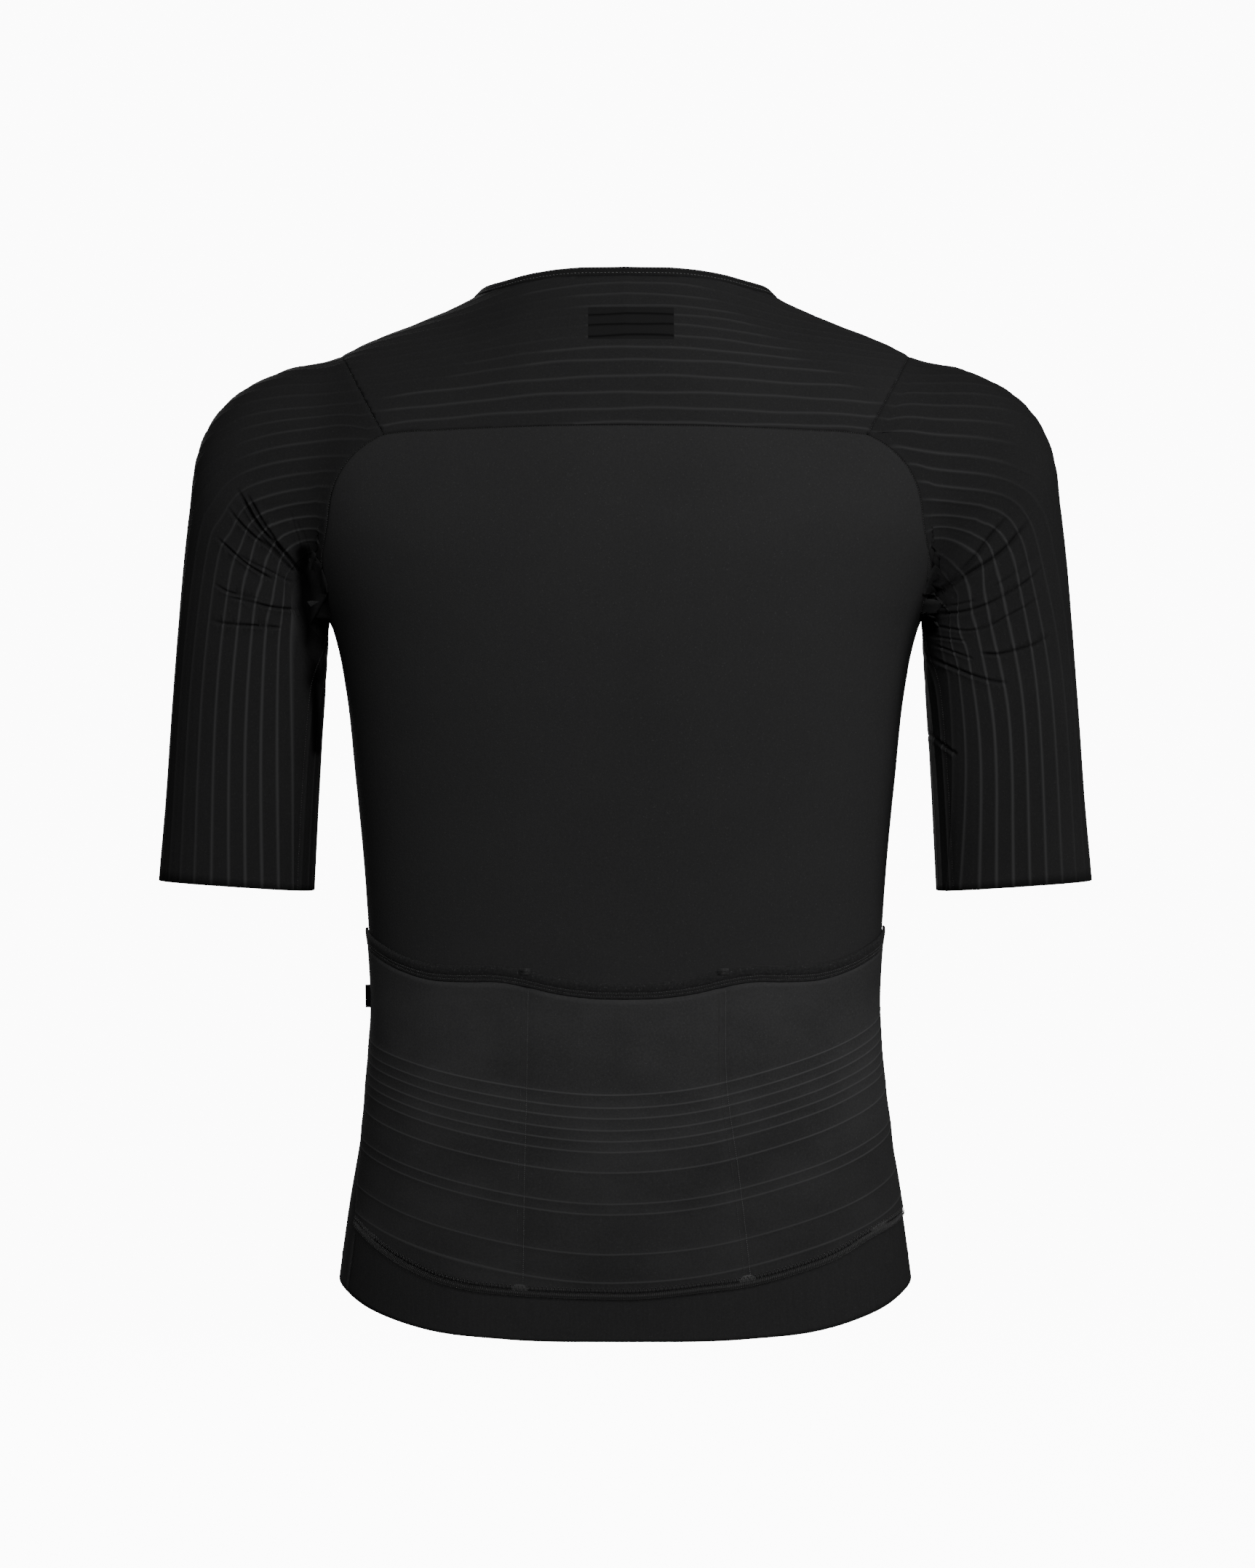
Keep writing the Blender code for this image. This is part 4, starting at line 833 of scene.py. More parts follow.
def stitchEnds(line, pitch, share, before=1.0, after=2.0):
    # places along a line, and the starts and ends of stitches there, each a share of the pitch long
    at = np.arange(before, lengthsAlong(line)[-1] - after, pitch)
    return at, atLengths(line, at), atLengths(line, at + pitch * share)


def dashesAlong(line, pitch, share=0.62, lift=0.05):
    # starts, ends and normals of a row of stitches along a line on the form
    starts, ends = stitchEnds(line, pitch, share, pitch / 2, pitch / 2)[1:]
    return lifted(starts, lift), lifted(ends, lift), outward(starts)


def joinRows(rows):
    return [np.concatenate(parts) for parts in zip(*rows)]


# Sleeves

sleeve = {
    "rings": (  # step, outer x, outer z, inner x, inner z, half depth, middle depth, share of the armhole's shape
        (0, 176, -34, 183.1, -199.2, 62, 4, 1.0), (1, 207, -44.5, 184.6, -211, 58.5, 3, 0.55),
        (2, 237, -60, 185.4, -219, 55.5, 2, 0.22), (3, 254.5, -79, 186, -227, 53.5, 2, 0.05),
        (4, 263, -103, 186.3, -237, 52, 1, 0), (5, 268, -135, 187.2, -254, 49, 0, 0),
        (6, 277, -226, 190, -300, 45.2, -2.5, 0), (7, 288.4, -359.5, 193.6, -366, 42, -7, 0),
    ),
    "firstRow": 8.0,
    "straight": 5.0,  # how far ribs leave the armhole straight towards their next place
    "straightWhere": 2.0,  # higher does so also where the two ways differ more
    "seamTurn": 37.0,
    "ribs": 32,
    "pitch": 10.1,
    "height": 0.32,
    "foot": 1.5,
    "yarn": (1.35, 0.75),  # light yarn at a rib's crest, partly a painted highlight, and the distance that takes 1 off it
    "evenFrom": 3,  # the ring from which ribs start to run evenly, and over how many rings they come to it
    "evenOver": 2,
    "levelled": 0.7,  # the share of a ring's way by which the armhole's bends up and down are gone
    "lightChanges": (1.3, 1.6),  # the ring where the armhole's table of light yarn and painted highlight starts to give way to the one further down, and over how many
    "riseRows": 3,  # rows over which ribs rise beside the armhole
    "columns": (-3.4, -1.5, -0.7, 0.0, 0.7, 1.5, 3.4, 5.05),  # places across one rib and the cloth beside it
    "toFirstRib": 6.5,
    "rows": (4, 60, 10),  # by the armhole, over the creases, and down to the cuff
    "denseTo": 6.4,
    "down": (0, 22, 43, 60, 78, 103, 172, 272),  # length from the armhole at each ring
    "finerThan": (1.4, 0.7),  # lengths of edges that are cut in two beside creases, pass by pass
    "finerWithin": 1.9,  # how near to a crease's sides, in those lengths
    "own": {
        1: {
            "firstRib": 0,
            "ridgeRib": 18.5,
            "evenAfter": 8,
            "seamHeights": (  # rib, height at which it meets the armhole behind
                (2, -158.5), (3, -149.9), (4, -140.5), (5, -131.2), (6, -121.9), (7, -112.7), (8, -104.3),
                (9.45, -91.5),
            ),
            "ribs": (0, 2, 4, 6, 8, 10, 12),
            "paths": (  # step, then how far out from the inner line to the outer one these ribs run behind the arm
                (0, 0.165, 0.262, 0.362, 0.475, 0.585, 0.691, 0.791),
                (1, 0.215, 0.328, 0.422, 0.531, 0.641, 0.749, 0.844),
                (2, 0.205, 0.365, 0.475, 0.582, 0.693, 0.801, 0.898),
                (3, 0.185, 0.348, 0.518, 0.635, 0.748, 0.852, 0.945),
                (4, 0.188, 0.350, 0.531, 0.673, 0.804, 0.9, 0.975), (5, 0.179, 0.378, 0.56, 0.736, 0.866, 0.95, 0.99),
                (6, 0.139, 0.358, 0.57, 0.766, 0.912, 0.97, 0.995), (7, 0.101, 0.293, 0.509, 0.73, 0.904, 0.97, 0.995),
            ),
            "yarnAndHighlightAbove": (  # rib, how much of its light yarn and painted highlight shows near the armhole, less where the cloth lies in shade
                (-1, 0.0), (1.4, 0.0), (2, 0.8), (7, 0.85), (12, 0.6), (14, 0.2), (22, 0.2), (26, 0.8), (31, 0.8),
            ),
            "yarnAndHighlightBelow": (  # the same further down
                (-1, 0.3), (0, 1.0), (5, 1.0), (6, 0.7), (7, 0.35), (8, 0.15), (20, 0.15), (24, 0.9), (29, 0.9),
                (31, 0.2),
            ),
            "fadeRows": 18,  # rows over which it starts to show
        },
        -1: {
            "firstRib": -2,
            "ridgeRib": 17.8,
            "evenAfter": 6,
            "seamHeights": (
                (2, -158.5), (3, -148.8), (4, -139.1), (5, -129.5), (6, -118.6), (7, -108.5), (8, -98.8),
                (8.75, -91.5),
            ),
            "ribs": (-2, 0, 2, 4, 6, 8),
            "paths": (
                (0, 0.03, 0.19, 0.273, 0.364, 0.488, 0.605), (1, 0.04, 0.2, 0.337, 0.428, 0.538, 0.655),
                (2, 0.053, 0.188, 0.382, 0.489, 0.602, 0.719), (3, 0.056, 0.173, 0.417, 0.547, 0.671, 0.782),
                (4, 0.075, 0.194, 0.398, 0.596, 0.734, 0.839), (5, 0.1, 0.247, 0.421, 0.632, 0.779, 0.9),
                (6, 0.101, 0.291, 0.493, 0.693, 0.866, 0.96), (7, 0.036, 0.236, 0.451, 0.665, 0.862, 0.965),
            ),
            "yarnAndHighlightAbove": (
                (-3, 0.0), (0.4, 0.0), (1.5, 0.6), (3, 0.8), (8, 0.8), (11, 0.5), (13, 0.2), (21, 0.2), (25, 0.8),
                (30, 0.8),
            ),
            "yarnAndHighlightBelow": (
                (-3, 0.3), (-2, 0.4), (-1, 1.0), (4, 1.0), (5, 0.7), (6, 0.3), (7, 0.15), (19, 0.15), (23, 0.9),
                (30, 0.9),
            ),
            "fadeRows": 7,
        },
    },
}


def ribRise(offset):
    # height of a rib, and how much of its light yarn and painted highlight shows, at a distance from its crest
    near = np.clip(1 - np.abs(offset) / sleeve["foot"], 0, 1)
    rise = sleeve["height"] * near * near * (3 - 2 * near)
    crest, width = sleeve["yarn"]
    return rise, np.clip(crest - np.abs(offset) / width, 0, 1)


def sleeveColumns(own):
    places, offsets = [], []
    for rib in range(own["firstRib"], own["firstRib"] + sleeve["ribs"]):
        for offset in sleeve["columns"]:
            places.append(rib + offset / sleeve["pitch"])
            offsets.append(offset)
    return np.array(places), np.array(offsets)


def ribSpan(own):
    # where the sleeve's own seam is, counted in ribs, before the first one and once round
    begin = own["firstRib"] - sleeve["toFirstRib"] / sleeve["pitch"]
    return begin, begin + sleeve["ribs"]


def ribPlaces(own, step, ribs, lengths):
    # how far round a ring each rib runs: as measured behind the arm, and evenly over the rest
    begin, once = ribSpan(own)
    degrees = np.arange(361)
    progress = step / (len(sleeve["rings"]) - 1)
    ease = progress * progress * (3 - 2 * progress)
    start = np.interp(sleeve["seamTurn"] * ease, degrees, lengths)
    end = lengths[-1] + start
    known = np.array(own["ribs"])
    shares = np.array([readTable(own["paths"], column + 1, step) for column in range(len(known))])
    across = 1 - 2 * shares
    turns = np.degrees(np.arccos(np.sign(across) * np.abs(across) ** (figure["armSquareness"] / 2)))
    places = np.interp(turns, degrees, lengths)
    fixed = own["evenAfter"]
    place = places[own["ribs"].index(fixed)]
    evenly = place + (end - place) * (known - fixed) / (once - fixed)
    mix = np.where(known > fixed, np.clip((step - sleeve["evenFrom"]) / sleeve["evenOver"], 0, 1), 0)
    places = places * (1 - mix) + evenly * mix
    mix = min(step / sleeve["evenFrom"], 1.0)
    afterwards = places[-1] + (end - places[-1]) * (own["ridgeRib"] - known[-1]) / (once - known[-1])
    ridge = lengths[180] * (1 - mix) + afterwards * mix
    start = min(start, places[0] - 1.0)
    known = (begin, *known, own["ridgeRib"], once)
    return np.interp(ribs, known, (start, *places, ridge, end))


def ringAt(own, step, ribs):
    # the oval ring round the arm at a step, and how far round it each rib is
    outX, outZ, inX, inZ, halfDepth, middle = (float(readTable(sleeve["rings"], k, step)) for k in range(1, 7))
    turn = np.radians(np.arange(361))
    power = 2 / figure["armSquareness"]
    across = np.sign(np.cos(turn)) * np.abs(np.cos(turn)) ** power
    deep = np.sign(np.sin(turn)) * np.abs(np.sin(turn)) ** power
    centre = np.array([(outX + inX) / 2, middle, (outZ + inZ) / 2])
    half = np.array([(outX - inX) / 2, 0, (outZ - inZ) / 2])
    ring = centre - half * across[:, None] + np.array([0, halfDepth, 0]) * deep[:, None]
    return np.concatenate([ring, ring[1:]]), ribPlaces(own, step, ribs, lengthsAlong(ring))


def sleeveGrid(side):
    # a sleeve's surface, from the armhole to the cuff, as if on the left
    own = sleeve["own"][side]
    ribs, offsets = sleeveColumns(own)
    begin, once = ribSpan(own)
    heights = np.array(own["seamHeights"])
    behind = np.interp(heights[:, 1], armBack[:, 2], lengthsAlong(armBack))
    known = (begin, *heights[:, 0], own["ridgeRib"], once)
    atArmhole = np.interp(ribs, known, (0, *behind, armPlaces["ridge"], armPlaces["end"]))
    loop = atLengths(armhole, atArmhole)
    along = np.roll(loop, -3, axis=0) - np.roll(loop, 3, axis=0)
    away = unit(np.cross(outward(loop), along))
    byArm, dense, plain = sleeve["rows"]
    ahead = unit(atLengths(*ringAt(own, 1.0, ribs)) - loop)
    agree = np.clip((ahead * away).sum(1, keepdims=True) * sleeve["straightWhere"], 0, 1)
    away = unit(away + ahead * agree * sleeve["straight"])
    rest = onForm(loop + away * sleeve["firstRow"])
    grid = [onForm(loop + (rest - loop) * (k / byArm)) for k in range(byArm)]
    last = len(sleeve["rings"]) - 1
    changeAt, total = np.interp((sleeve["denseTo"], last), range(last + 1), sleeve["down"])
    lengths = np.concatenate([np.linspace(0, changeAt, dense), np.linspace(changeAt, total, plain + 1)[1:]])
    steps = np.interp(lengths, sleeve["down"], range(last + 1))
    for step in steps:
        row = atLengths(*ringAt(own, step, ribs))
        outX, outZ, inX, inZ, like = (float(readTable(sleeve["rings"], k, step)) for k in (1, 2, 3, 4, 7))
        if step == 0:
            shape = rest - row
            grid.append(rest)
            continue
        outOf = unit(np.array([inZ - outZ, 0, outX - inX]))
        apart = (shape @ outOf)[:, None] * outOf
        bends = max(1 - step / sleeve["levelled"], 0.0) ** 2
        grid.append(row + max(like, 0.0) * (apart + (shape - apart) * bends))
    count = byArm + 1
    grid[count:] = onForm(np.stack(grid[count:]))
    steps = np.concatenate([np.linspace(-1, 0, byArm, endpoint=False), steps])
    return np.stack(grid), ribs, offsets, steps


def madeFiner(points, faces, layers):
    # cuts long edges beside creases in two, carrying the layers' values along
    net = bmesh.new()
    kept = {name: net.verts.layers.float.new(name) for name in layers}
    verts = [net.verts.new(point) for point in points]
    for name, layer in kept.items():
        for vert, value in zip(verts, layers[name]):
            vert[layer] = value
    for face in faces:
        net.faces.new([verts[corner] for corner in face])
    for limit in sleeve["finerThan"]:
        net.verts.index_update()
        found = np.array([vert.co for vert in net.verts])
        away = creaseLift(found, outward(found))[2] < limit * sleeve["finerWithin"]
        edges = [
            edge for edge in net.edges
            if away[edge.verts[0].index] and away[edge.verts[1].index] and edge.calc_length() > limit
        ]
        bmesh.ops.subdivide_edges(net, edges=edges, cuts=1, use_grid_fill=True)
    net.verts.index_update()
    found = np.array([vert.co for vert in net.verts])
    values = {name: np.array([vert[layer] for vert in net.verts]) for name, layer in kept.items()}
    corners = [[vert.index for vert in face.verts] for face in net.faces]
    net.free()
    return found, corners, values


print("sleeves")
sleeves = {side: sleeveGrid(side) for side in (1, -1)}
sewnLines = [evenly(armhole, 400), yokeSeam, evenly(yokeFrontSeam, 80)]
sewnLines += [mirrored(line, -1) for line in (sewnLines[0], sewnLines[2])]
for side, (grid, *_) in sleeves.items():
    toHem = np.arange(0, lengthAt(sides[side], seams["hemEdge"]) - 1, 1.0)
    sewnLines += [atLengths(sides[side], toHem), evenly(mirrored(grid[:, -1], side), 200)]
sewn = seamTree([evenly(line, int(lengthsAlong(line)[-1])) for line in sewnLines])
for side, word in ((1, "left"), (-1, "right")):
    grid, ribs, offsets, steps = sleeves[side]
    own = sleeve["own"][side]
    rows, columns = grid.shape[:2]
    nearest = np.round(ribs)
    above, below = (readTable(own[name], 1, nearest) for name in ("yarnAndHighlightAbove", "yarnAndHighlightBelow"))
    changeFrom, changeOver = sleeve["lightChanges"]
    lower = np.clip((steps - changeFrom) / changeOver, 0, 1)[:, None]
    fadeIn = np.clip((np.arange(rows) + 2) / own["fadeRows"], 0, 1)[:, None]
    layers = {
        "offset": np.tile(np.abs(offsets), rows),
        "strength": (fadeIn * (above * (1 - lower) + below * lower)).reshape(-1),
        "early": np.repeat(np.clip(np.arange(rows) / sleeve["riseRows"], 0, 1), columns),
    }
    faces = gridFaces(rows, columns, closed=True)
    points, faces, layers = madeFiner(mirrored(grid, side).reshape(-1, 3), faces, layers)
    points = onForm(points, 3)
    # rib heights, and light yarn that is partly a painted highlight, strongest where the ribs catch the light
    rise, line = ribRise(layers["offset"])
    # the painted shadows of creases and armpits ride along as a layer
    addCloth(
        f"ribbedSleeve_{word}", lifted(points, rise * layers["early"]), faces, "sleeveRib", "rib", [f"sleeve_{word}"],
        lines=line * layers["strength"], paintedShades=creaseLift(points, outward(points))[1],
    )


# Yoke over both shoulders, worked out flat: distance from the middle, and length up from its lower seam

yoke = {
    "profileCentre": (8.0, 58.0),
    "profileTurn": (-62, 225),
    "spacing": 2.4,
    "edge": 0.9,
    "ribs": (  # length up from the seam, where light yarn and painted highlight show: from x to x, and how much of it, twice
        (1.8, 40, -158, 1.0, 0, 0, 0), (10.2, 152, -158, 1.0, 0, 0, 0), (20.2, 145, -153, 1.0, 0, 0, 0),
        (30.9, 140, -138, 1.0, 0, 0, 0), (41.5, 62, -126, 1.0, 106, 50, 0.55), (50.4, 52, -106, 1.0, 95, 40, 0.45),
        (58.7, 0, -101, 0.9, 90, 30, 0.25), (66.8, 0, -88, 0.8, 60, 30, 0.12), (74.8, 0, -79, 0.8, 0, 0, 0),
        (81.8, 28, -68, 0.8, 0, 0, 0), (91.6, 32, -53, 0.8, 0, 0, 0), (101.2, 60, -49, 0.8, 0, 0, 0),
    ),
    "inPatch": (6, 7, 8),  # those of them that cross the patch
    "faint": 0.1,  # how much light yarn and painted highlight shows elsewhere
    "softEnds": 16.0,
    "firstRows": (2.6, 5.2),  # rows of mesh under the lowest rib, then those on and beside each one
    "rows": (-2.6, -1.5, -0.7, 0.0, 0.7, 1.5, 2.6, 5.05),
    "columns": 74,  # to each side of the middle
    "steeper": (10, 60, 70),  # on the left ribs tilt more from this length up, over this length, by its part of 70
    "waver": 0.3,
    "waves": (0.051, 0.9, 0.13, 0.37, 0.7),  # turns along x and up of two waves, and the second one's share
    "tilt": ((-156, 2.0), (-120, 1.3), (-60, 0.4), (0, 0), (70, -1.4), (114, -3.2), (150, -4.2)),  # x, how much higher
}


def shoulderProfiles(xs, count=110):
    # lines over the shoulders from back to front, and the length up from the yoke's seam along them
    turn = np.radians(np.linspace(*yoke["profileTurn"], count))
    xs = np.asarray(xs, float)
    middle = readTable(figure["shoulder"], 1, np.abs(xs)) - yoke["profileCentre"][1]
    starts = np.stack([xs, np.full_like(xs, yoke["profileCentre"][0]), middle], -1)[:, None]
    away = np.stack([np.zeros_like(turn), np.cos(turn), np.sin(turn)], -1)[None]
    points = cast(starts, away + np.zeros((len(xs), count, 3)))
    steps = np.linalg.norm(np.diff(points, axis=1), axis=-1)
    lengths = np.concatenate([np.zeros((len(xs), 1)), np.cumsum(steps, axis=1)], axis=1)
    seam = readTable(seams["yoke"], 1, np.abs(xs))
    half = count // 2
    for row in range(len(xs)):
        lengths[row] -= np.interp(seam[row], points[row, :half, 2], lengths[row, :half])
    return points, lengths


def yokeFlat(points):
    # points of the form laid out flat
    flat = []
    for point, profile, length in zip(points, *shoulderProfiles(points[:, 0])):
        edges = np.diff(profile, axis=0)
        shares = np.clip(((point - profile[:-1]) * edges).sum(1) / (edges**2).sum(1), 0, 1)
        nearest = np.argmin(np.linalg.norm(profile[:-1] + shares[:, None] * edges - point, axis=1))
        flat.append((point[0], length[nearest] + shares[nearest] * (length[nearest + 1] - length[nearest])))
    return np.array(flat)


def yokeFromFlat(flat):
    # flat points put back on the form
    stations, which = np.unique(np.round(flat[:, 0], 3), return_inverse=True)
    profiles, lengths = shoulderProfiles(stations)
    points = np.empty((len(flat), 3))
    for index in range(len(stations)):
        at = which == index
        for axis in range(3):
            points[at, axis] = np.interp(flat[at, 1], lengths[index], profiles[index][:, axis])
    return points


def insideOutline(flat, plan, margin):
    # those of the points that are inside a flat outline, at least margin from its edge
    start, end = flat, np.roll(flat, -1, axis=0)
    edge = end - start
    level = np.where(edge[:, 1] == 0, 1.0, edge[:, 1])
    found = []
    for some in np.array_split(plan, len(plan) // 1000 + 1):
        x, y = some[:, :1], some[:, 1:]
        spans = (start[:, 1] > y) != (end[:, 1] > y)
        crossings = start[:, 0] + (y - start[:, 1]) * edge[:, 0] / level
        inside = (spans & (crossings > x)).sum(1) % 2 == 1
        away = some[:, None] - start
        share = np.clip((away * edge).sum(-1) / (edge**2).sum(1), 0, 1)[..., None]
        clear = np.linalg.norm(away - share * edge, axis=-1).min(1) > margin
        found += [tuple(point) for point in some[inside & clear]]
    return found


def flatPanel(outline, flat, inside, toForm):
    # triangles over a flat pattern, carried to the form
    plan = [tuple(point) for point in flat] + inside
    found = delaunay_2d_cdt([Vector(point) for point in plan], [], [list(range(len(flat)))], 1, 1e-5)
    flatPoints = np.array([tuple(point) for point in found[0]])
    placed = toForm(flatPoints)
    for index, source in enumerate(found[3]):
        if source and source[0] < len(flat):
            placed[index] = outline[source[0]]
    return placed, flatPoints, [tuple(face) for face in found[2]]


print("yoke")
yokeLeft = np.concatenate([armOver, yokeFrontLine[1:]])
neckRound = np.concatenate([neckInner, mirrored(neckInner[::-1], -1)[1:]])
yokeOutline = np.concatenate([yokeLeft, neckRound[1:-1], mirrored(yokeLeft[::-1], -1), yokeSeam[::-1][1:-1]])
yokePlan = yokeFlat(yokeOutline)
pitch = sleeve["pitch"]
ribsUp = [row[0] for row in yoke["ribs"]]
ribsUp += [ribsUp[-1] + pitch * k for k in range(1, int((yokePlan[:, 1].max() - ribsUp[-1]) / pitch) + 2)]
ribsUp = np.array(ribsUp)


def ribShift(x, up):
    # how much higher a rib runs at x than in the middle
    since, over, whole = yoke["steeper"]
    shift = readTable(yoke["tilt"], 1, x) * np.where(x > 0, 1 + np.clip(up - since, 0, over) / whole, 1.0)
    x1, up1, x2, up2, share = yoke["waves"]
    waves = np.sin(x * x1 + up * up1) + share * np.sin(x * x2 + up * up2) - np.sin(up * up1)
    return shift + yoke["waver"] * waves


def yarnAndHighlight(x, rib):
    # how much of a rib's light yarn and painted highlight shows along it
    strength = np.full(len(x), yoke["faint"])
    for index, (_, *stretches) in enumerate(yoke["ribs"]):
        here = rib == index
        for start, end, amount in (stretches[:3], stretches[3:]):
            inside = np.clip(np.minimum(start - x[here], x[here] - end) / yoke["softEnds"] + 0.5, 0, 1)
            strength[here] = np.maximum(strength[here], inside * amount)
    inPatch = (x > neckPatch["x"][0] / mm) & (x < neckPatch["x"][1] / mm) & np.isin(rib, yoke["inPatch"])
    return np.where(inPatch, 1.0, strength)


yokeColumns = np.arange(-yoke["columns"], yoke["columns"] + 1) * yoke["spacing"]
yokeCandidates = [np.stack([yokeColumns, np.full(len(yokeColumns), level)], -1) for level in yoke["firstRows"]]
for rib in ribsUp:
    for offset in yoke["rows"]:
        yokeCandidates.append(np.stack([yokeColumns, rib + ribShift(yokeColumns, rib) + offset], -1))
yokeInside = insideOutline(yokePlan, np.concatenate(yokeCandidates), yoke["edge"])
yokePoints, yokePlace, yokeFaces = flatPanel(yokeOutline, yokePlan, yokeInside, yokeFromFlat)
fromRibs = yokePlace[:, 1:] - ribsUp - ribShift(yokePlace[:, :1], ribsUp[None])
nearestRib = np.abs(fromRibs).argmin(1)
# the ribs' light yarn here is partly a painted highlight, strongest where they catch the light
yokeRise, yokeYarnAndHighlight = ribRise(fromRibs[np.arange(len(fromRibs)), nearestRib])
yokeYarnAndHighlight = yokeYarnAndHighlight * yarnAndHighlight(yokePlace[:, 0], nearestRib)
addCloth(
    "ribbedYoke", lifted(yokePoints, yokeRise), yokeFaces, "rib", "rib", ["back_yoke"], lines=yokeYarnAndHighlight
)


# Back panel

backPanel = {"columns": 150, "rows": 190}

print("back panel")
hemSeam = acrossBack(seams["hem"])
backTop = evenly(yokeSeam, backPanel["columns"])
backSides = []
for side in (1, -1):
    down = mirrored(armStretch("side", "yokeBack")[::-1], side)
    seam = sides[side]
    below = atLengths(seam, np.arange(2.0, lengthAt(seam, seams["hem"]), 2.0))
    end = atLengths(seam, np.array([lengthAt(seam, seams["hem"])]))
    backSides.append(evenly(np.concatenate([down, below, end]), backPanel["rows"]))
backBottom = evenly(hemSeam, backPanel["columns"])
backTop[0], backTop[-1] = backSides[0][0], backSides[1][0]
backBottom[0], backBottom[-1] = backSides[0][-1], backSides[1][-1]
backGrid = patch(backTop, backBottom, *backSides)
rows, columns = backGrid.shape[:2]
addCloth(
    "backPanel", lifted(backGrid.reshape(-1, 3)), gridFaces(rows, columns), "body", "body", ["back_panel"]
)


# Pocket panel, its binding and the gripper band

pocket = {
    "lines": (-484.5, -492.2, -498.5, -505.6, -512.0, -518.3, -530.3, -548.6, -554.8, -578.0, -594.5),
    "rise": ((-15, 40), (13, 24), (37, 10.4), (57, 3.4), (90, 0), (123, 6.6), (147, 20.6), (167, 37.5), (195, 60)),
    "deeperLeft": 0.4,  # how much more the lowest line rises to the left side, as a share
    "offsets": (-0.7, -0.2, 0.2, 0.7),
    "lineRise": 0.12,
    "lineShade": 0.85,
    "fill": 3.6,
    "columns": 180,
    "standsOff": 1.3,
    "hem": (  # degrees from the left side, height of the gripper band's seam
        (-20, -545), (0, -556), (8, -560.5), (14.9, -567.8), (22.9, -578.2), (30.5, -587.3), (37.2, -593.4),
        (43.8, -596.9), (53.7, -599), (66.1, -600.2), (80.6, -600.8), (94.7, -600.8), (105.5, -599.2),
        (116.1, -596.9), (127, -594.4), (138.2, -588.5), (148.3, -581), (157.2, -570.8), (170.6, -562.2),
        (180, -557), (200, -546),
    ),
    "seams": (  # height, x of the two seams between the compartments
        (-408, 59.1, -57.8), (-482, 60.3, -58.7), (-533, 61.4, -65.6), (-602, 62.2, -73.2),
    ),
    "seamDip": (0.6, 4.0),
    "bulge": 0.42,
    "waves": (  # share, then for two waves that multiply: turns along x, turns up, start
        (1.0, (0.083, 0.021, 0.6), (-0.018, 0.067, 1.1)), (0.7, (0.151, -0.094, 2.0), (0.055, 0.13, 0.0)),
    ),
    "flatTop": (14.0, 40.0),  # how far below the top bulges start, and over what height
    "flatBottom": (-592.0, 30.0),  # the height where they end, and over what height
}


def anglesAcross(height, share):
    # degrees from the left towards the back, from the left side seam at a height to the right one
    ends = []
    for side in (1, -1):
        seam = sides[side]
        x, y = (np.interp(-height, -seam[:, 2], seam[:, axis]) for axis in (0, 1))
        ends.append(np.degrees(np.arctan2(y, x)))
    return ends[0] + (ends[1] - ends[0]) * share


def pocketRow(level):
    # one row of the pocket panel: evenly between its lines, and towards the binding and the hem beyond them
    share = np.linspace(0, 1, pocket["columns"] + 1)
    height = np.full(len(share), float(level))
    first, last = pocket["lines"][0], pocket["lines"][-1]
    middleTop, middleBottom = seams["pocketTop"][-1][1] - seams["binding"], seams["hem"][-1][1]
    down = (first - level) / (first - last)
    for _ in range(4):
        angle = anglesAcross(height, share)
        top = readTable(seams["pocketTop"], 1, fromSide(angle)) - seams["binding"]
        bottom = readTable(pocket["hem"], 1, angle)
        rise = readTable(pocket["rise"], 1, angle)
        rise = rise * np.where(angle < 90, 1 + pocket["deeperLeft"] * np.clip(down, 0, 1), 1.0)
        lined = level + rise
        if level > first:
            part = (middleTop - level) / (middleTop - first)
            lined = top + (first + rise - top) * part
        elif level < last:
            part = (last - level) / (last - middleBottom)
            lined = last + rise + (bottom - last - rise) * part
        height = np.maximum(lined, bottom)
    return around(angle, height)


def pocketLevels():
    # heights of the rows at the middle, and which of them are lines
    levels, marks = [seams["pocketTop"][-1][1] - seams["binding"]], [0.0]
    for line in pocket["lines"]:
        gap = levels[-1] - (line + pocket["offsets"][-1])
        count = int(gap / pocket["fill"])
        for k in range(1, count + 1):
            levels.append(levels[-1] - gap / (count + 1))
            marks.append(0.0)
        for offset in pocket["offsets"][::-1]:
            levels.append(line + offset)
            marks.append(1.0 if abs(offset) < 0.5 else 0.0)
    bottom = seams["hem"][-1][1]
    for level in np.linspace(levels[-1], bottom, 4)[1:]:
        levels.append(level)
        marks.append(0.0)
    return levels, np.array(marks)


def pocketLift(points):
    # compartments stand out a little between their seams
    depth, width = pocket["seamDip"]
    lift = np.full(len(points), pocket["standsOff"])
    x, z = points[:, 0], points[:, 2]
    for column in (1, 2):
        lift = lift - depth * bell(x - readTable(pocket["seams"], column, z), width)
    wave = np.zeros(len(points))
    for share, *pair in pocket["waves"]:
        one, other = (np.sin(x * alongX + z * up + start) for alongX, up, start in pair)
        wave += share * one * other
    below, overTop = pocket["flatTop"]
    end, overBottom = pocket["flatBottom"]
    part = np.clip((seams["pocketTop"][-1][1] - below - z) / overTop, 0, 1)
    return lift + pocket["bulge"] * wave * part * np.clip((z - end) / overBottom, 0, 1)


print("pockets")
levels, marks = pocketLevels()
pocketGrid = np.stack([pocketRow(level) for level in levels])
rows, columns = pocketGrid.shape[:2]
flat = pocketGrid.reshape(-1, 3)
lines = np.repeat(marks, columns)
points = flat + outward(flat) * (pocketLift(flat) + lines * pocket["lineRise"])[:, None]
addCloth(
    "pocketPanel", points, gridFaces(rows, columns), "pocket", "pocket", ["pocket_panel"],
    lines=lines * pocket["lineShade"],
)

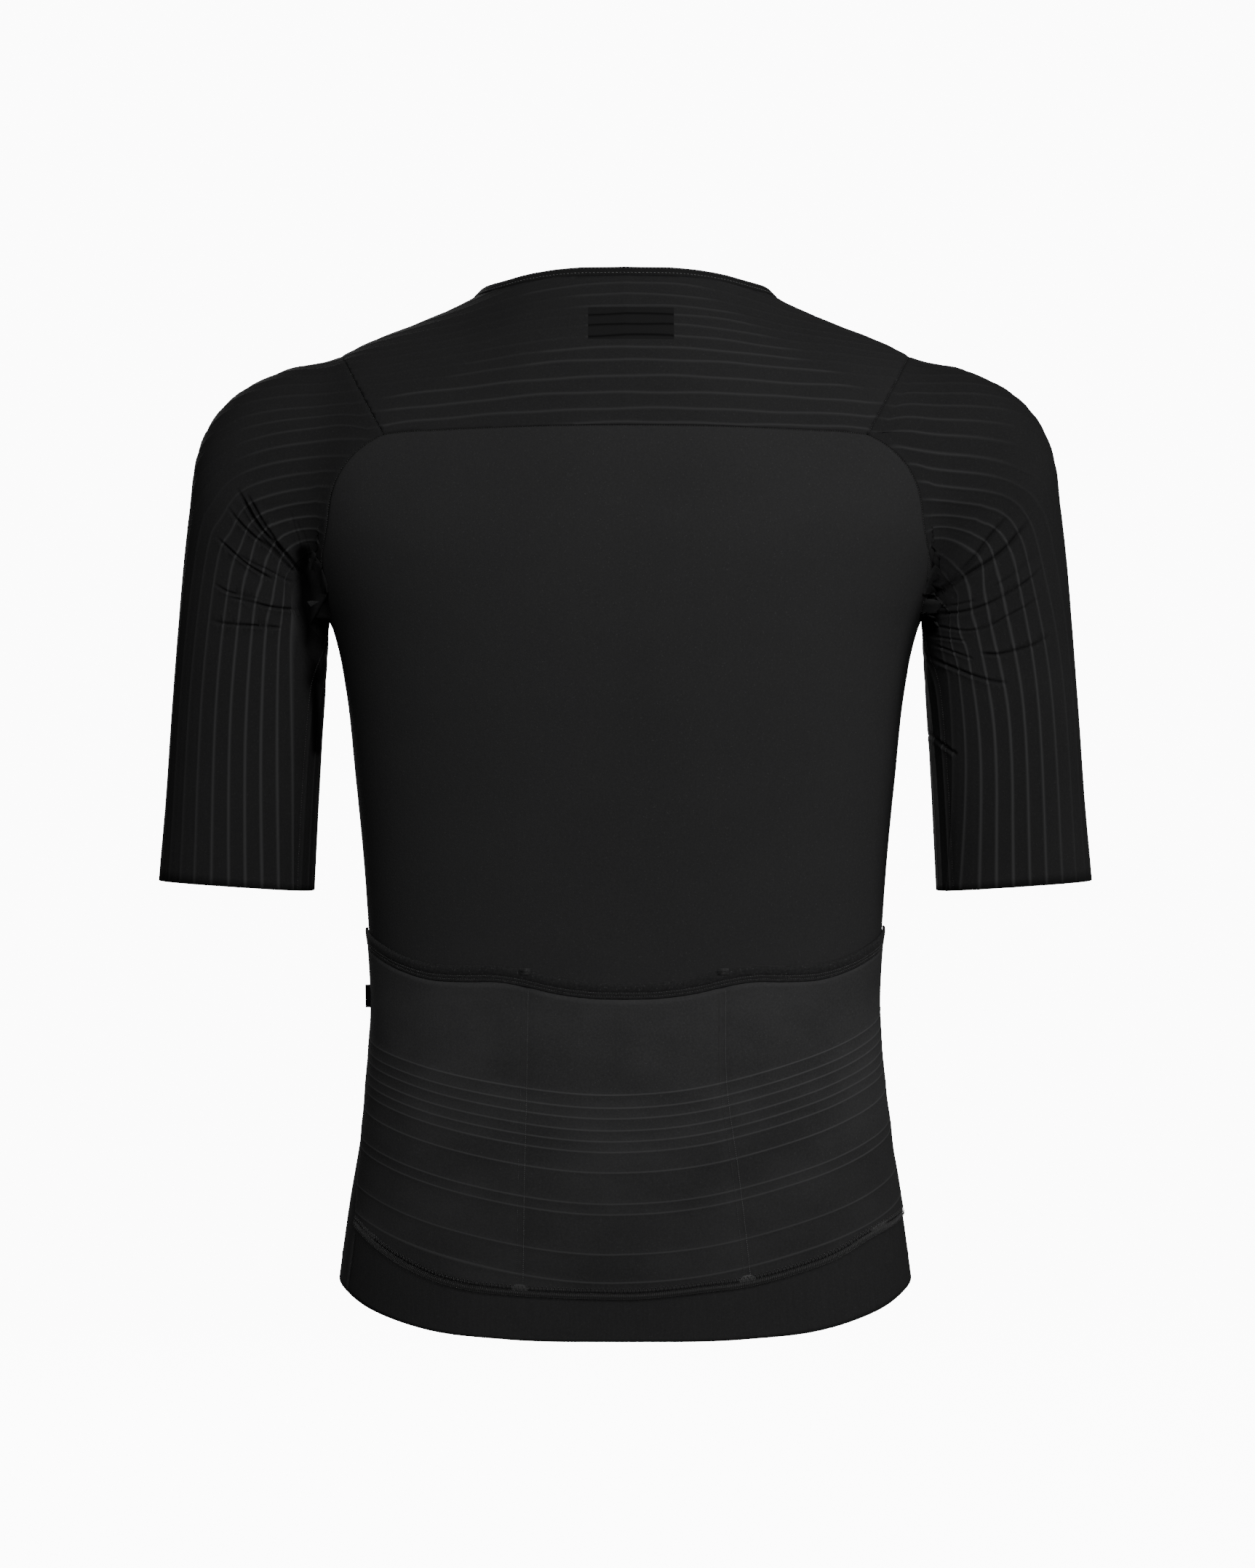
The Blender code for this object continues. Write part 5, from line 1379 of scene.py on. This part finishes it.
binding = {
    "profile": (  # share of the binding's height from its top, how far it stands out
        (0.0, 0.3), (0.03, 1.3), (0.1, 1.9), (0.25, 2.1), (0.42, 2.05), (0.52, 1.75), (0.58, 1.45), (0.64, 1.6),
        (0.7, 1.75), (0.76, 1.45), (0.8, 1.3), (0.88, 1.6), (0.97, 1.5), (1.0, 0.9),
    ),
    "columns": 220,
    "wall": 0.7,
}
bandRows = []
for share, out in binding["profile"]:
    row = acrossBack(seams["pocketTop"], seams["binding"] * share, binding["columns"])
    bandRows.append(row + outward(row) * out)
addGrid(
    "pocketBinding", np.stack(bandRows), "binding", "elastic", ["pocket_binding"], wall=binding["wall"]
)

gripper = {"columns": 180, "rows": 16}


def gripperRow(share):
    # a row of the band, at a share of the way down from its seam to its edge
    part = np.linspace(0, 1, gripper["columns"] + 1)
    height = np.full(len(part), seams["hem"][-1][1])
    for _ in range(4):
        angle = anglesAcross(height, part)
        low = readTable(seams["hemEdge"], 1, fromSide(angle))
        height = readTable(pocket["hem"], 1, angle) * (1 - share) + low * share
    return around(angle, height)


gripperRows = [gripperRow(share) for share in np.linspace(0, 1, gripper["rows"])]
addGrid("gripperBand", np.stack(gripperRows), "elastic", "elastic", ["hem_back"])


# Front panels

front = {"mmADegree": 2.2, "spacing": 4.6, "edge": 1.6, "hemPoints": 90}


def frontFlat(points):
    # laid out flat round the body: a degree is so many mm
    turn = np.degrees(np.arctan2(points[:, 1], points[:, 0]))
    return np.stack([turn * front["mmADegree"], points[:, 2]], -1)


def frontFromFlat(flat):
    return around(flat[:, 0] / front["mmADegree"], flat[:, 1])


print("fronts")
zipHeights = np.linspace(seams["neck"][-1][2], seams["hemEdge"][0][1], 160)
quarter = slice(-(len(neckHalf) // 4), None)
neckStart = np.interp(-seams["zipEdge"], -neckHalf[quarter, 0], lengthsAlong(neckHalf)[quarter])
neckFront = neckStretch(neckStart, neckEnd)
for side, word in ((1, "left"), (-1, "right")):
    down = mirrored(sides[side], side)
    toEdge = lengthAt(down, seams["hemEdge"])
    down = atLengths(down, np.append(np.arange(2.0, toEdge, 2.5), toEdge))
    hemAngles = np.linspace(anglesOf(down[-1]), -90 + seams["zipEdge"] / front["mmADegree"], front["hemPoints"])
    hem = around(hemAngles, readTable(seams["hemEdge"], 1, hemAngles))
    edge = facing(seams["zipEdge"], zipHeights[::-1], -1)
    edge[-1] = neckFront[0]
    roundArm = np.concatenate([armStretch("yokeFront", "end"), armStretch("start", "side")[1:]])
    outline = np.concatenate([edge, neckFront[1:], yokeFrontLine[-2::-1], roundArm[1:], down, hem[1:-1]])
    plan = frontFlat(outline)
    low, high = plan.min(0), plan.max(0)
    spots = np.meshgrid(*(np.arange(low[axis], high[axis], front["spacing"]) for axis in (0, 1)))
    inside = insideOutline(plan, np.stack(spots, -1).reshape(-1, 2), front["edge"])
    placed, _, faces = flatPanel(outline, plan, inside, frontFromFlat)
    placed = mirrored(placed, side)
    addCloth(
        f"frontPanel_{word}", lifted(placed), faces, "body", "body", [f"front_{word}"]
    )


# Neck band: bound edge standing up and in from the neck seam

neckBand = {
    "height": 8.0,
    "lean": (45, 24),  # degrees in from upright, behind and at the front
    "profile": (  # share of its height, how far it stands out of its own slope
        (0.0, -0.3), (0.06, 0.35), (0.16, 0.6), (0.24, 0.35), (0.32, 0.55), (0.55, 0.7), (0.7, 0.65),
        (0.78, 0.4), (0.86, 0.65), (0.95, 0.55), (1.0, 0.0),
    ),
    "count": 260,
}

print("neck band")
leftRound = neckStretch(neckStart, 0)
neckLine = evenly(np.concatenate([leftRound, mirrored(leftRound[::-1], -1)[1:]]), neckBand["count"])
ahead = np.clip(neckLine[:, 1] / seams["neck"][-1][1], 0, 1)[:, None]
inward = unit(-neckLine * np.array([1, 1, 0]))
lean = np.radians((1 - ahead) * neckBand["lean"][0] + ahead * neckBand["lean"][1])
rising = inward * np.sin(lean) + np.array([0, 0, 1]) * np.cos(lean)
outFrom = -inward * np.cos(lean) + np.array([0, 0, 1]) * np.sin(lean)
grid = np.stack([neckLine + rising * neckBand["height"] * share + outFrom * out for share, out in neckBand["profile"]])
addGrid("neckBand", grid, "edging", "elastic", ["neck_band"])


# Zip: tapes, coil and its teeth

zipper = {
    "coil": 5.0,
    "tape": 13.0,
    "tapeGap": 0.3,
    "tapeSunk": 1.34,
    "tapeWall": 0.9,
    "top": -67.0,
    "footMargin": 4.0,
    "coilSunk": 0.7,
    "coilSection": ((2.4, 1.3), (1.6, 0.75), (-1.6, 0.75), (-2.4, 1.3)),  # x, how deep
    "toothPitch": 1.35,
    "toothThick": 0.588,
    "toothFrom": 2.45,  # a tooth reaches from here on its own side
    "toothTo": 1.2,  # to here on the other one
    "toothSlant": 0.35,
    "toothSunk": 0.5,
    "toothBow": 0.25,
}

print("zip")
zipFoot = seams["hemEdge"][0][1] + zipper["footMargin"]
tapeHeights = np.linspace(zipper["top"], zipFoot, 180)
for side, word in ((1, "left"), (-1, "right")):
    lines = []
    for x in np.linspace(zipper["coil"] / 2 + zipper["tapeGap"], zipper["coil"] / 2 + zipper["tape"], 8):
        points = facing(side * x, tapeHeights, -1)
        lines.append(points - outward(points) * zipper["tapeSunk"])
    addGrid(
        f"zipTape_{word}", np.stack(lines, 1), "tape", "tape", [f"zip_tape_{word}"], wall=zipper["tapeWall"]
    )

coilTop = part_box("zip_coil")[1][2] / mm
coilLine = facing(0, np.linspace(coilTop - 0.5, zipFoot, 260), -1)
coilMiddle = evenly(coilLine, int((coilTop - zipFoot) / zipper["toothPitch"]))
coilNormals = outward(coilMiddle)
coilMiddle = coilMiddle - coilNormals * zipper["coilSunk"]
starts, ends = coilMiddle.copy(), coilMiddle.copy()
way = np.where(np.arange(len(coilMiddle)) % 2 == 0, 1.0, -1.0)
starts[:, 0] += way * zipper["toothFrom"]
ends[:, 0] -= way * zipper["toothTo"]
ends[:, 2] -= zipper["toothSlant"]
sunk = coilNormals * zipper["toothSunk"]
threadMesh(
    "zipTeeth", starts - sunk, ends - sunk, coilNormals, "coil",
    thick=zipper["toothThick"], bow=zipper["toothBow"], slot="coil",
)
core = [coilMiddle + np.array([x, 0, 0]) - coilNormals * depth for x, depth in zipper["coilSection"]]
addGrid("zipCoil", np.stack(core, 1), "tape", "coil", ["zip_coil"])
for name in ("zip_slider", "zip_pull"):
    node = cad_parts[name]
    node.data.materials.clear()
    node.data.materials.append(finishes["slider"])


# Folded tab caught in the left side seam

tab = {
    "reach": 3.6,
    "across": 2.6,
    "high": 14.0,
    "height": -430.0,
    "standsOff": 0.9,
    "gap": 0.34,
    "wall": 0.45,
    "shorter": 0.3,
    "rows": 12,
}

print("side tab")
nearest = sides[1][np.argmin(np.abs(sides[1][:, 2] - tab["height"]))]
nearest = nearest - np.array([0, tab["across"] / 2 + tab["gap"], 0])
tabOut = outward(nearest[None])[0]
tabAcross = unit(np.cross(np.array([0, 0, 1.0]), tabOut))
tabUp = np.cross(tabOut, tabAcross)
half = tab["across"] / 2 - tab["wall"] / 2
straight = tab["reach"] - half - tab["shorter"]
bend = [(0.0, -half), (straight, -half)]
bend += [
    (straight + half * math.sin(math.radians(turn)), -half * math.cos(math.radians(turn)))
    for turn in (30, 60, 90, 120, 150)
]
bend += [(straight, half), (0.0, half)]
tabRows = []
for level in np.linspace(-0.5, 0.5, tab["rows"]):
    base = nearest + tabOut * tab["standsOff"] + tabUp * level * tab["high"]
    tabRows.append([base + tabOut * reach + tabAcross * across for reach, across in bend])
grid = np.array(tabRows)
tabPiece = addMesh("sideTab", grid.reshape(-1, 3), gridFaces(*grid.shape[:2]), "tabCloth")
tabShell = tabPiece.modifiers.new("wall", "SOLIDIFY")
tabShell.thickness = tab["wall"] * mm
tabShell.offset = 0
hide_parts("side_tab")


# Stitching

stitching = {  # a pitch, and the share of it that shows
    "seamPitch": 1.5,
    "zipPitch": 2.4,
    "zipInsets": (2.0, 9.0),  # from the front's edge
    "zipTop": -84,
    "zipAboveFoot": 6,
    "hemFold": 14.0,
    "hemFrom": -88,  # degrees
    "hemTo": (25, 175),  # where it ends by the side seam, deep and across
    "pocket": (1.15, 0.55),
    "pocketHeights": (-422, -596),
    "pocketAside": 1.85,  # of the rows to each side of a seam
    "pocketOut": 0.12,
    "binding": (1.5, 0.6),
    "bindingRows": ((0.6, 1.62), (0.8, 1.45)),  # share of its height down, how far out
    "neck": (2.3, 0.62),
    "neckRows": ((0.24, 0.5), (0.78, 0.55)),  # share of its height up, how far out
}

print("stitches")
seamRows = [dashesAlong(line, stitching["seamPitch"]) for line in sewnLines]
threadMesh("seamStitches", *joinRows(seamRows), "darkThread")

hemRows = []
for side in (1, -1):
    turn = np.linspace(stitching["hemFrom"], np.degrees(np.arctan2(*stitching["hemTo"])), 120)
    line = around(turn, readTable(seams["hemEdge"], 1, turn) + stitching["hemFold"])
    hemRows.append(dashesAlong(mirrored(line, side), stitching["zipPitch"]))
threadMesh("frontHemStitches", *joinRows(hemRows), "darkThread")

for way, word, finish in ((1, "dim", "thread"), (-1, "light", "lightThread")):
    pocketRows = []
    for column in (1, 2):
        heights = np.linspace(*stitching["pocketHeights"], 120)
        across = readTable(pocket["seams"], column, heights) + way * stitching["pocketAside"]
        _, starts, ends = stitchEnds(facing(across, heights, 1), *stitching["pocket"])
        normals = outward(starts)
        starts, ends = (
            points + normals * (pocketLift(points) + stitching["pocketOut"])[:, None] for points in (starts, ends)
        )
        pocketRows.append((starts, ends, normals))
    name = f"pocketStitches_{word}"
    threadMesh(name, *joinRows(pocketRows), finish)

bindingRows = []
for share, out in stitching["bindingRows"]:
    line = acrossBack(seams["pocketTop"], seams["binding"] * share, 200)
    _, starts, ends = stitchEnds(line + outward(line) * out, *stitching["binding"])
    bindingRows.append((starts, ends, outward(starts)))
threadMesh("bindingStitches", *joinRows(bindingRows), "softThread", thick=0.18)

# flatlock seam over the join of pockets and gripper band: loops above, slanted threads below
flatlock = {
    "pitch": 1.2,
    "ends": (1.6, 2.4),
    "half": 2.9,
    "out": 1.7,
    "strip": (-3.4, -1.7, 0.0, 1.7, 3.6),  # heights across the dark strip under the threads
    "stripOut": 1.15,
    "stripTucks": (0.8, 0.3),  # how much less far out its lower and upper edges are
}
at, base, beyond = stitchEnds(evenly(gripperRow(0.0), 400), flatlock["pitch"], 0.5, *flatlock["ends"])
normals = outward(base)
run = unit(beyond - base)
upward = np.cross(normals, run)
upward *= np.sign(upward[:, 2:3])
surface = base + normals * flatlock["out"]
half = flatlock["half"]


def flatlockRow(every, fromUp, fromRun, toUp, toRun):
    # threads from one place to another, both given up from the join and along it
    some = slice(None, None, every)
    starts = surface[some] + upward[some] * fromUp + run[some] * fromRun
    ends = surface[some] + upward[some] * toUp + run[some] * toRun
    return starts, ends, normals[some]


flatRows = [
    flatlockRow(2, 0.5, -0.95, half * 0.9, -0.55), flatlockRow(2, half, -0.55, half, 0.55),
    flatlockRow(2, half * 0.9, 0.55, 0.5, 0.95), flatlockRow(1, -0.3, 0.3, -half, -0.3),
]
threadMesh("flatlockStitches", *joinRows(flatRows), "thread", bow=0.2)
edgeRows = [flatlockRow(1, 0.1, -0.45, 0.1, 0.45), flatlockRow(1, -half - 0.2, -0.45, -half - 0.2, 0.4)]
threadMesh("flatlockEdges", *joinRows(edgeRows), "darkThread", thick=0.22)
seamStrip = np.stack([base + normals * flatlock["stripOut"] + upward * level for level in flatlock["strip"]])
seamStrip[0] -= normals * flatlock["stripTucks"][0]
seamStrip[-1] -= normals * flatlock["stripTucks"][1]
addMesh(
    "flatlockBase", seamStrip.reshape(-1, 3), gridFaces(*seamStrip.shape[:2]), "darkThread"
)

neckRows = []
for share, out in stitching["neckRows"]:
    line = neckLine + rising * neckBand["height"] * share + outFrom * out
    at, starts, ends = stitchEnds(line, *stitching["neck"])
    neckRows.append((starts, ends, atLengths(line + outFrom, at) - starts))
threadMesh("neckStitches", *joinRows(neckRows), "lightThread")

zipRows = []
for side in (1, -1):
    for inset in stitching["zipInsets"]:
        heights = np.linspace(stitching["zipTop"], zipFoot + stitching["zipAboveFoot"], 200)
        line = facing(side * (seams["zipEdge"] + inset), heights, -1)
        zipRows.append(dashesAlong(line, stitching["zipPitch"]))
threadMesh("zipStitches", *joinRows(zipRows), "thread", thick=0.22)

barTacks = {"top": -409.6, "rows": 7, "half": 3.4, "pitch": 0.55, "out": 2.35}
tacks = []
for column in (1, 2):
    for row in range(barTacks["rows"]):
        height = barTacks["top"] - row * barTacks["pitch"]
        x = float(readTable(pocket["seams"], column, height))
        pair = facing(np.array([x - barTacks["half"], x + barTacks["half"]]), np.array([height, height]), 1)
        normal = outward(pair)
        tacks.append((*(pair + normal * barTacks["out"]), normal[0]))
threadMesh("barTacks", *zip(*tacks), "darkThread", thick=0.24, bow=0.1)


# Studio

studio = {
    "cameraPlace": (-0.00135, 2.2, -0.3),
    "lens": 81.6,
    "sensor": 36.0,
    "floor": -1.1,
    "wall": (6.0, 1.5, 8.0),  # how far round the wall stands, the radius at its foot, and its height
    "paper": (0.78, 0.82),
    "paperGrain": 40.0,
    "glow": 11.0,
    "world": 0.155,
    "aim": (0, 0, -0.25),  # what all the lights point at
    "lights": (  # name, place, size, watts
        ("key", (-0.8, 2.0, 0.9), 0.8, 36),
        ("middle", (0, 2.2, 0.9), 0.8, 15),
        ("left", (0.8, 2.0, 0.9), 0.8, 9),
        ("sideRight", (-2.3, 0.25, 0.1), 0.7, 19),
        ("frontOfFigure", (0.6, -2.6, 0.6), 1.6, 52),
    ),
}

print("studio")
camera = bpy.data.objects.new("camera", bpy.data.cameras.new("camera"))
camera.data.lens = studio["lens"]
camera.data.sensor_width = studio["sensor"]
camera.location = studio["cameraPlace"]
camera.rotation_euler = (math.radians(90), 0, math.radians(180))
bpy.context.scene.collection.objects.link(camera)
bpy.context.scene.camera = camera
for name, place, size, watts in studio["lights"]:
    lamp = bpy.data.lights.new(name, "AREA")
    lamp.size = size
    lamp.energy = watts
    holder = bpy.data.objects.new(name, lamp)
    holder.location = place
    holder.rotation_euler = (Vector(studio["aim"]) - Vector(place)).to_track_quat("-Z", "Y").to_euler()
    bpy.context.scene.collection.objects.link(holder)

# the floor and the wall round it show to the camera alone, so that the cloth's edges stay dark
paper = Finish("paleFloor", {"Roughness": 0.9, "Emission Color": (1, 1, 1, 1), "Emission Strength": studio["glow"]})
grain = paper.noise(paper.place(), studio["paperGrain"])
shades = [(level, level, level) for level in studio["paper"]]
paper.feed(paper.surface.inputs["Base Color"], paper.mixed(grain, *shades))
reach, bend, top = studio["wall"]
profile = [(0.0, 0.0), (2.0, 0.0)]
profile += [
    (reach - bend + bend * math.sin(math.radians(turn)), bend - bend * math.cos(math.radians(turn)))
    for turn in range(0, 91, 10)
]
profile += [(reach, top)]
turns = np.radians(np.arange(0, 360, 5))
floorPoints = [(r * math.cos(turn), r * math.sin(turn), studio["floor"] + z) for r, z in profile for turn in turns]
floorMesh = bpy.data.meshes.new("floor")
floorMesh.from_pydata(floorPoints, [], [face[::-1] for face in gridFaces(len(profile), len(turns), closed=True)])
floorMesh.materials.append(paper.material)
floorMesh.shade_smooth()
floor = bpy.data.objects.new("floor", floorMesh)
bpy.context.scene.collection.objects.link(floor)
floor.visible_diffuse = floor.visible_glossy = floor.visible_transmission = floor.visible_shadow = False

world = bpy.data.worlds.new("paleRoom")
world.use_nodes = True
world.node_tree.nodes["Background"].inputs["Color"].default_value = (1, 1, 1, 1)
world.node_tree.nodes["Background"].inputs["Strength"].default_value = studio["world"]
bpy.context.scene.world = world

print("done")
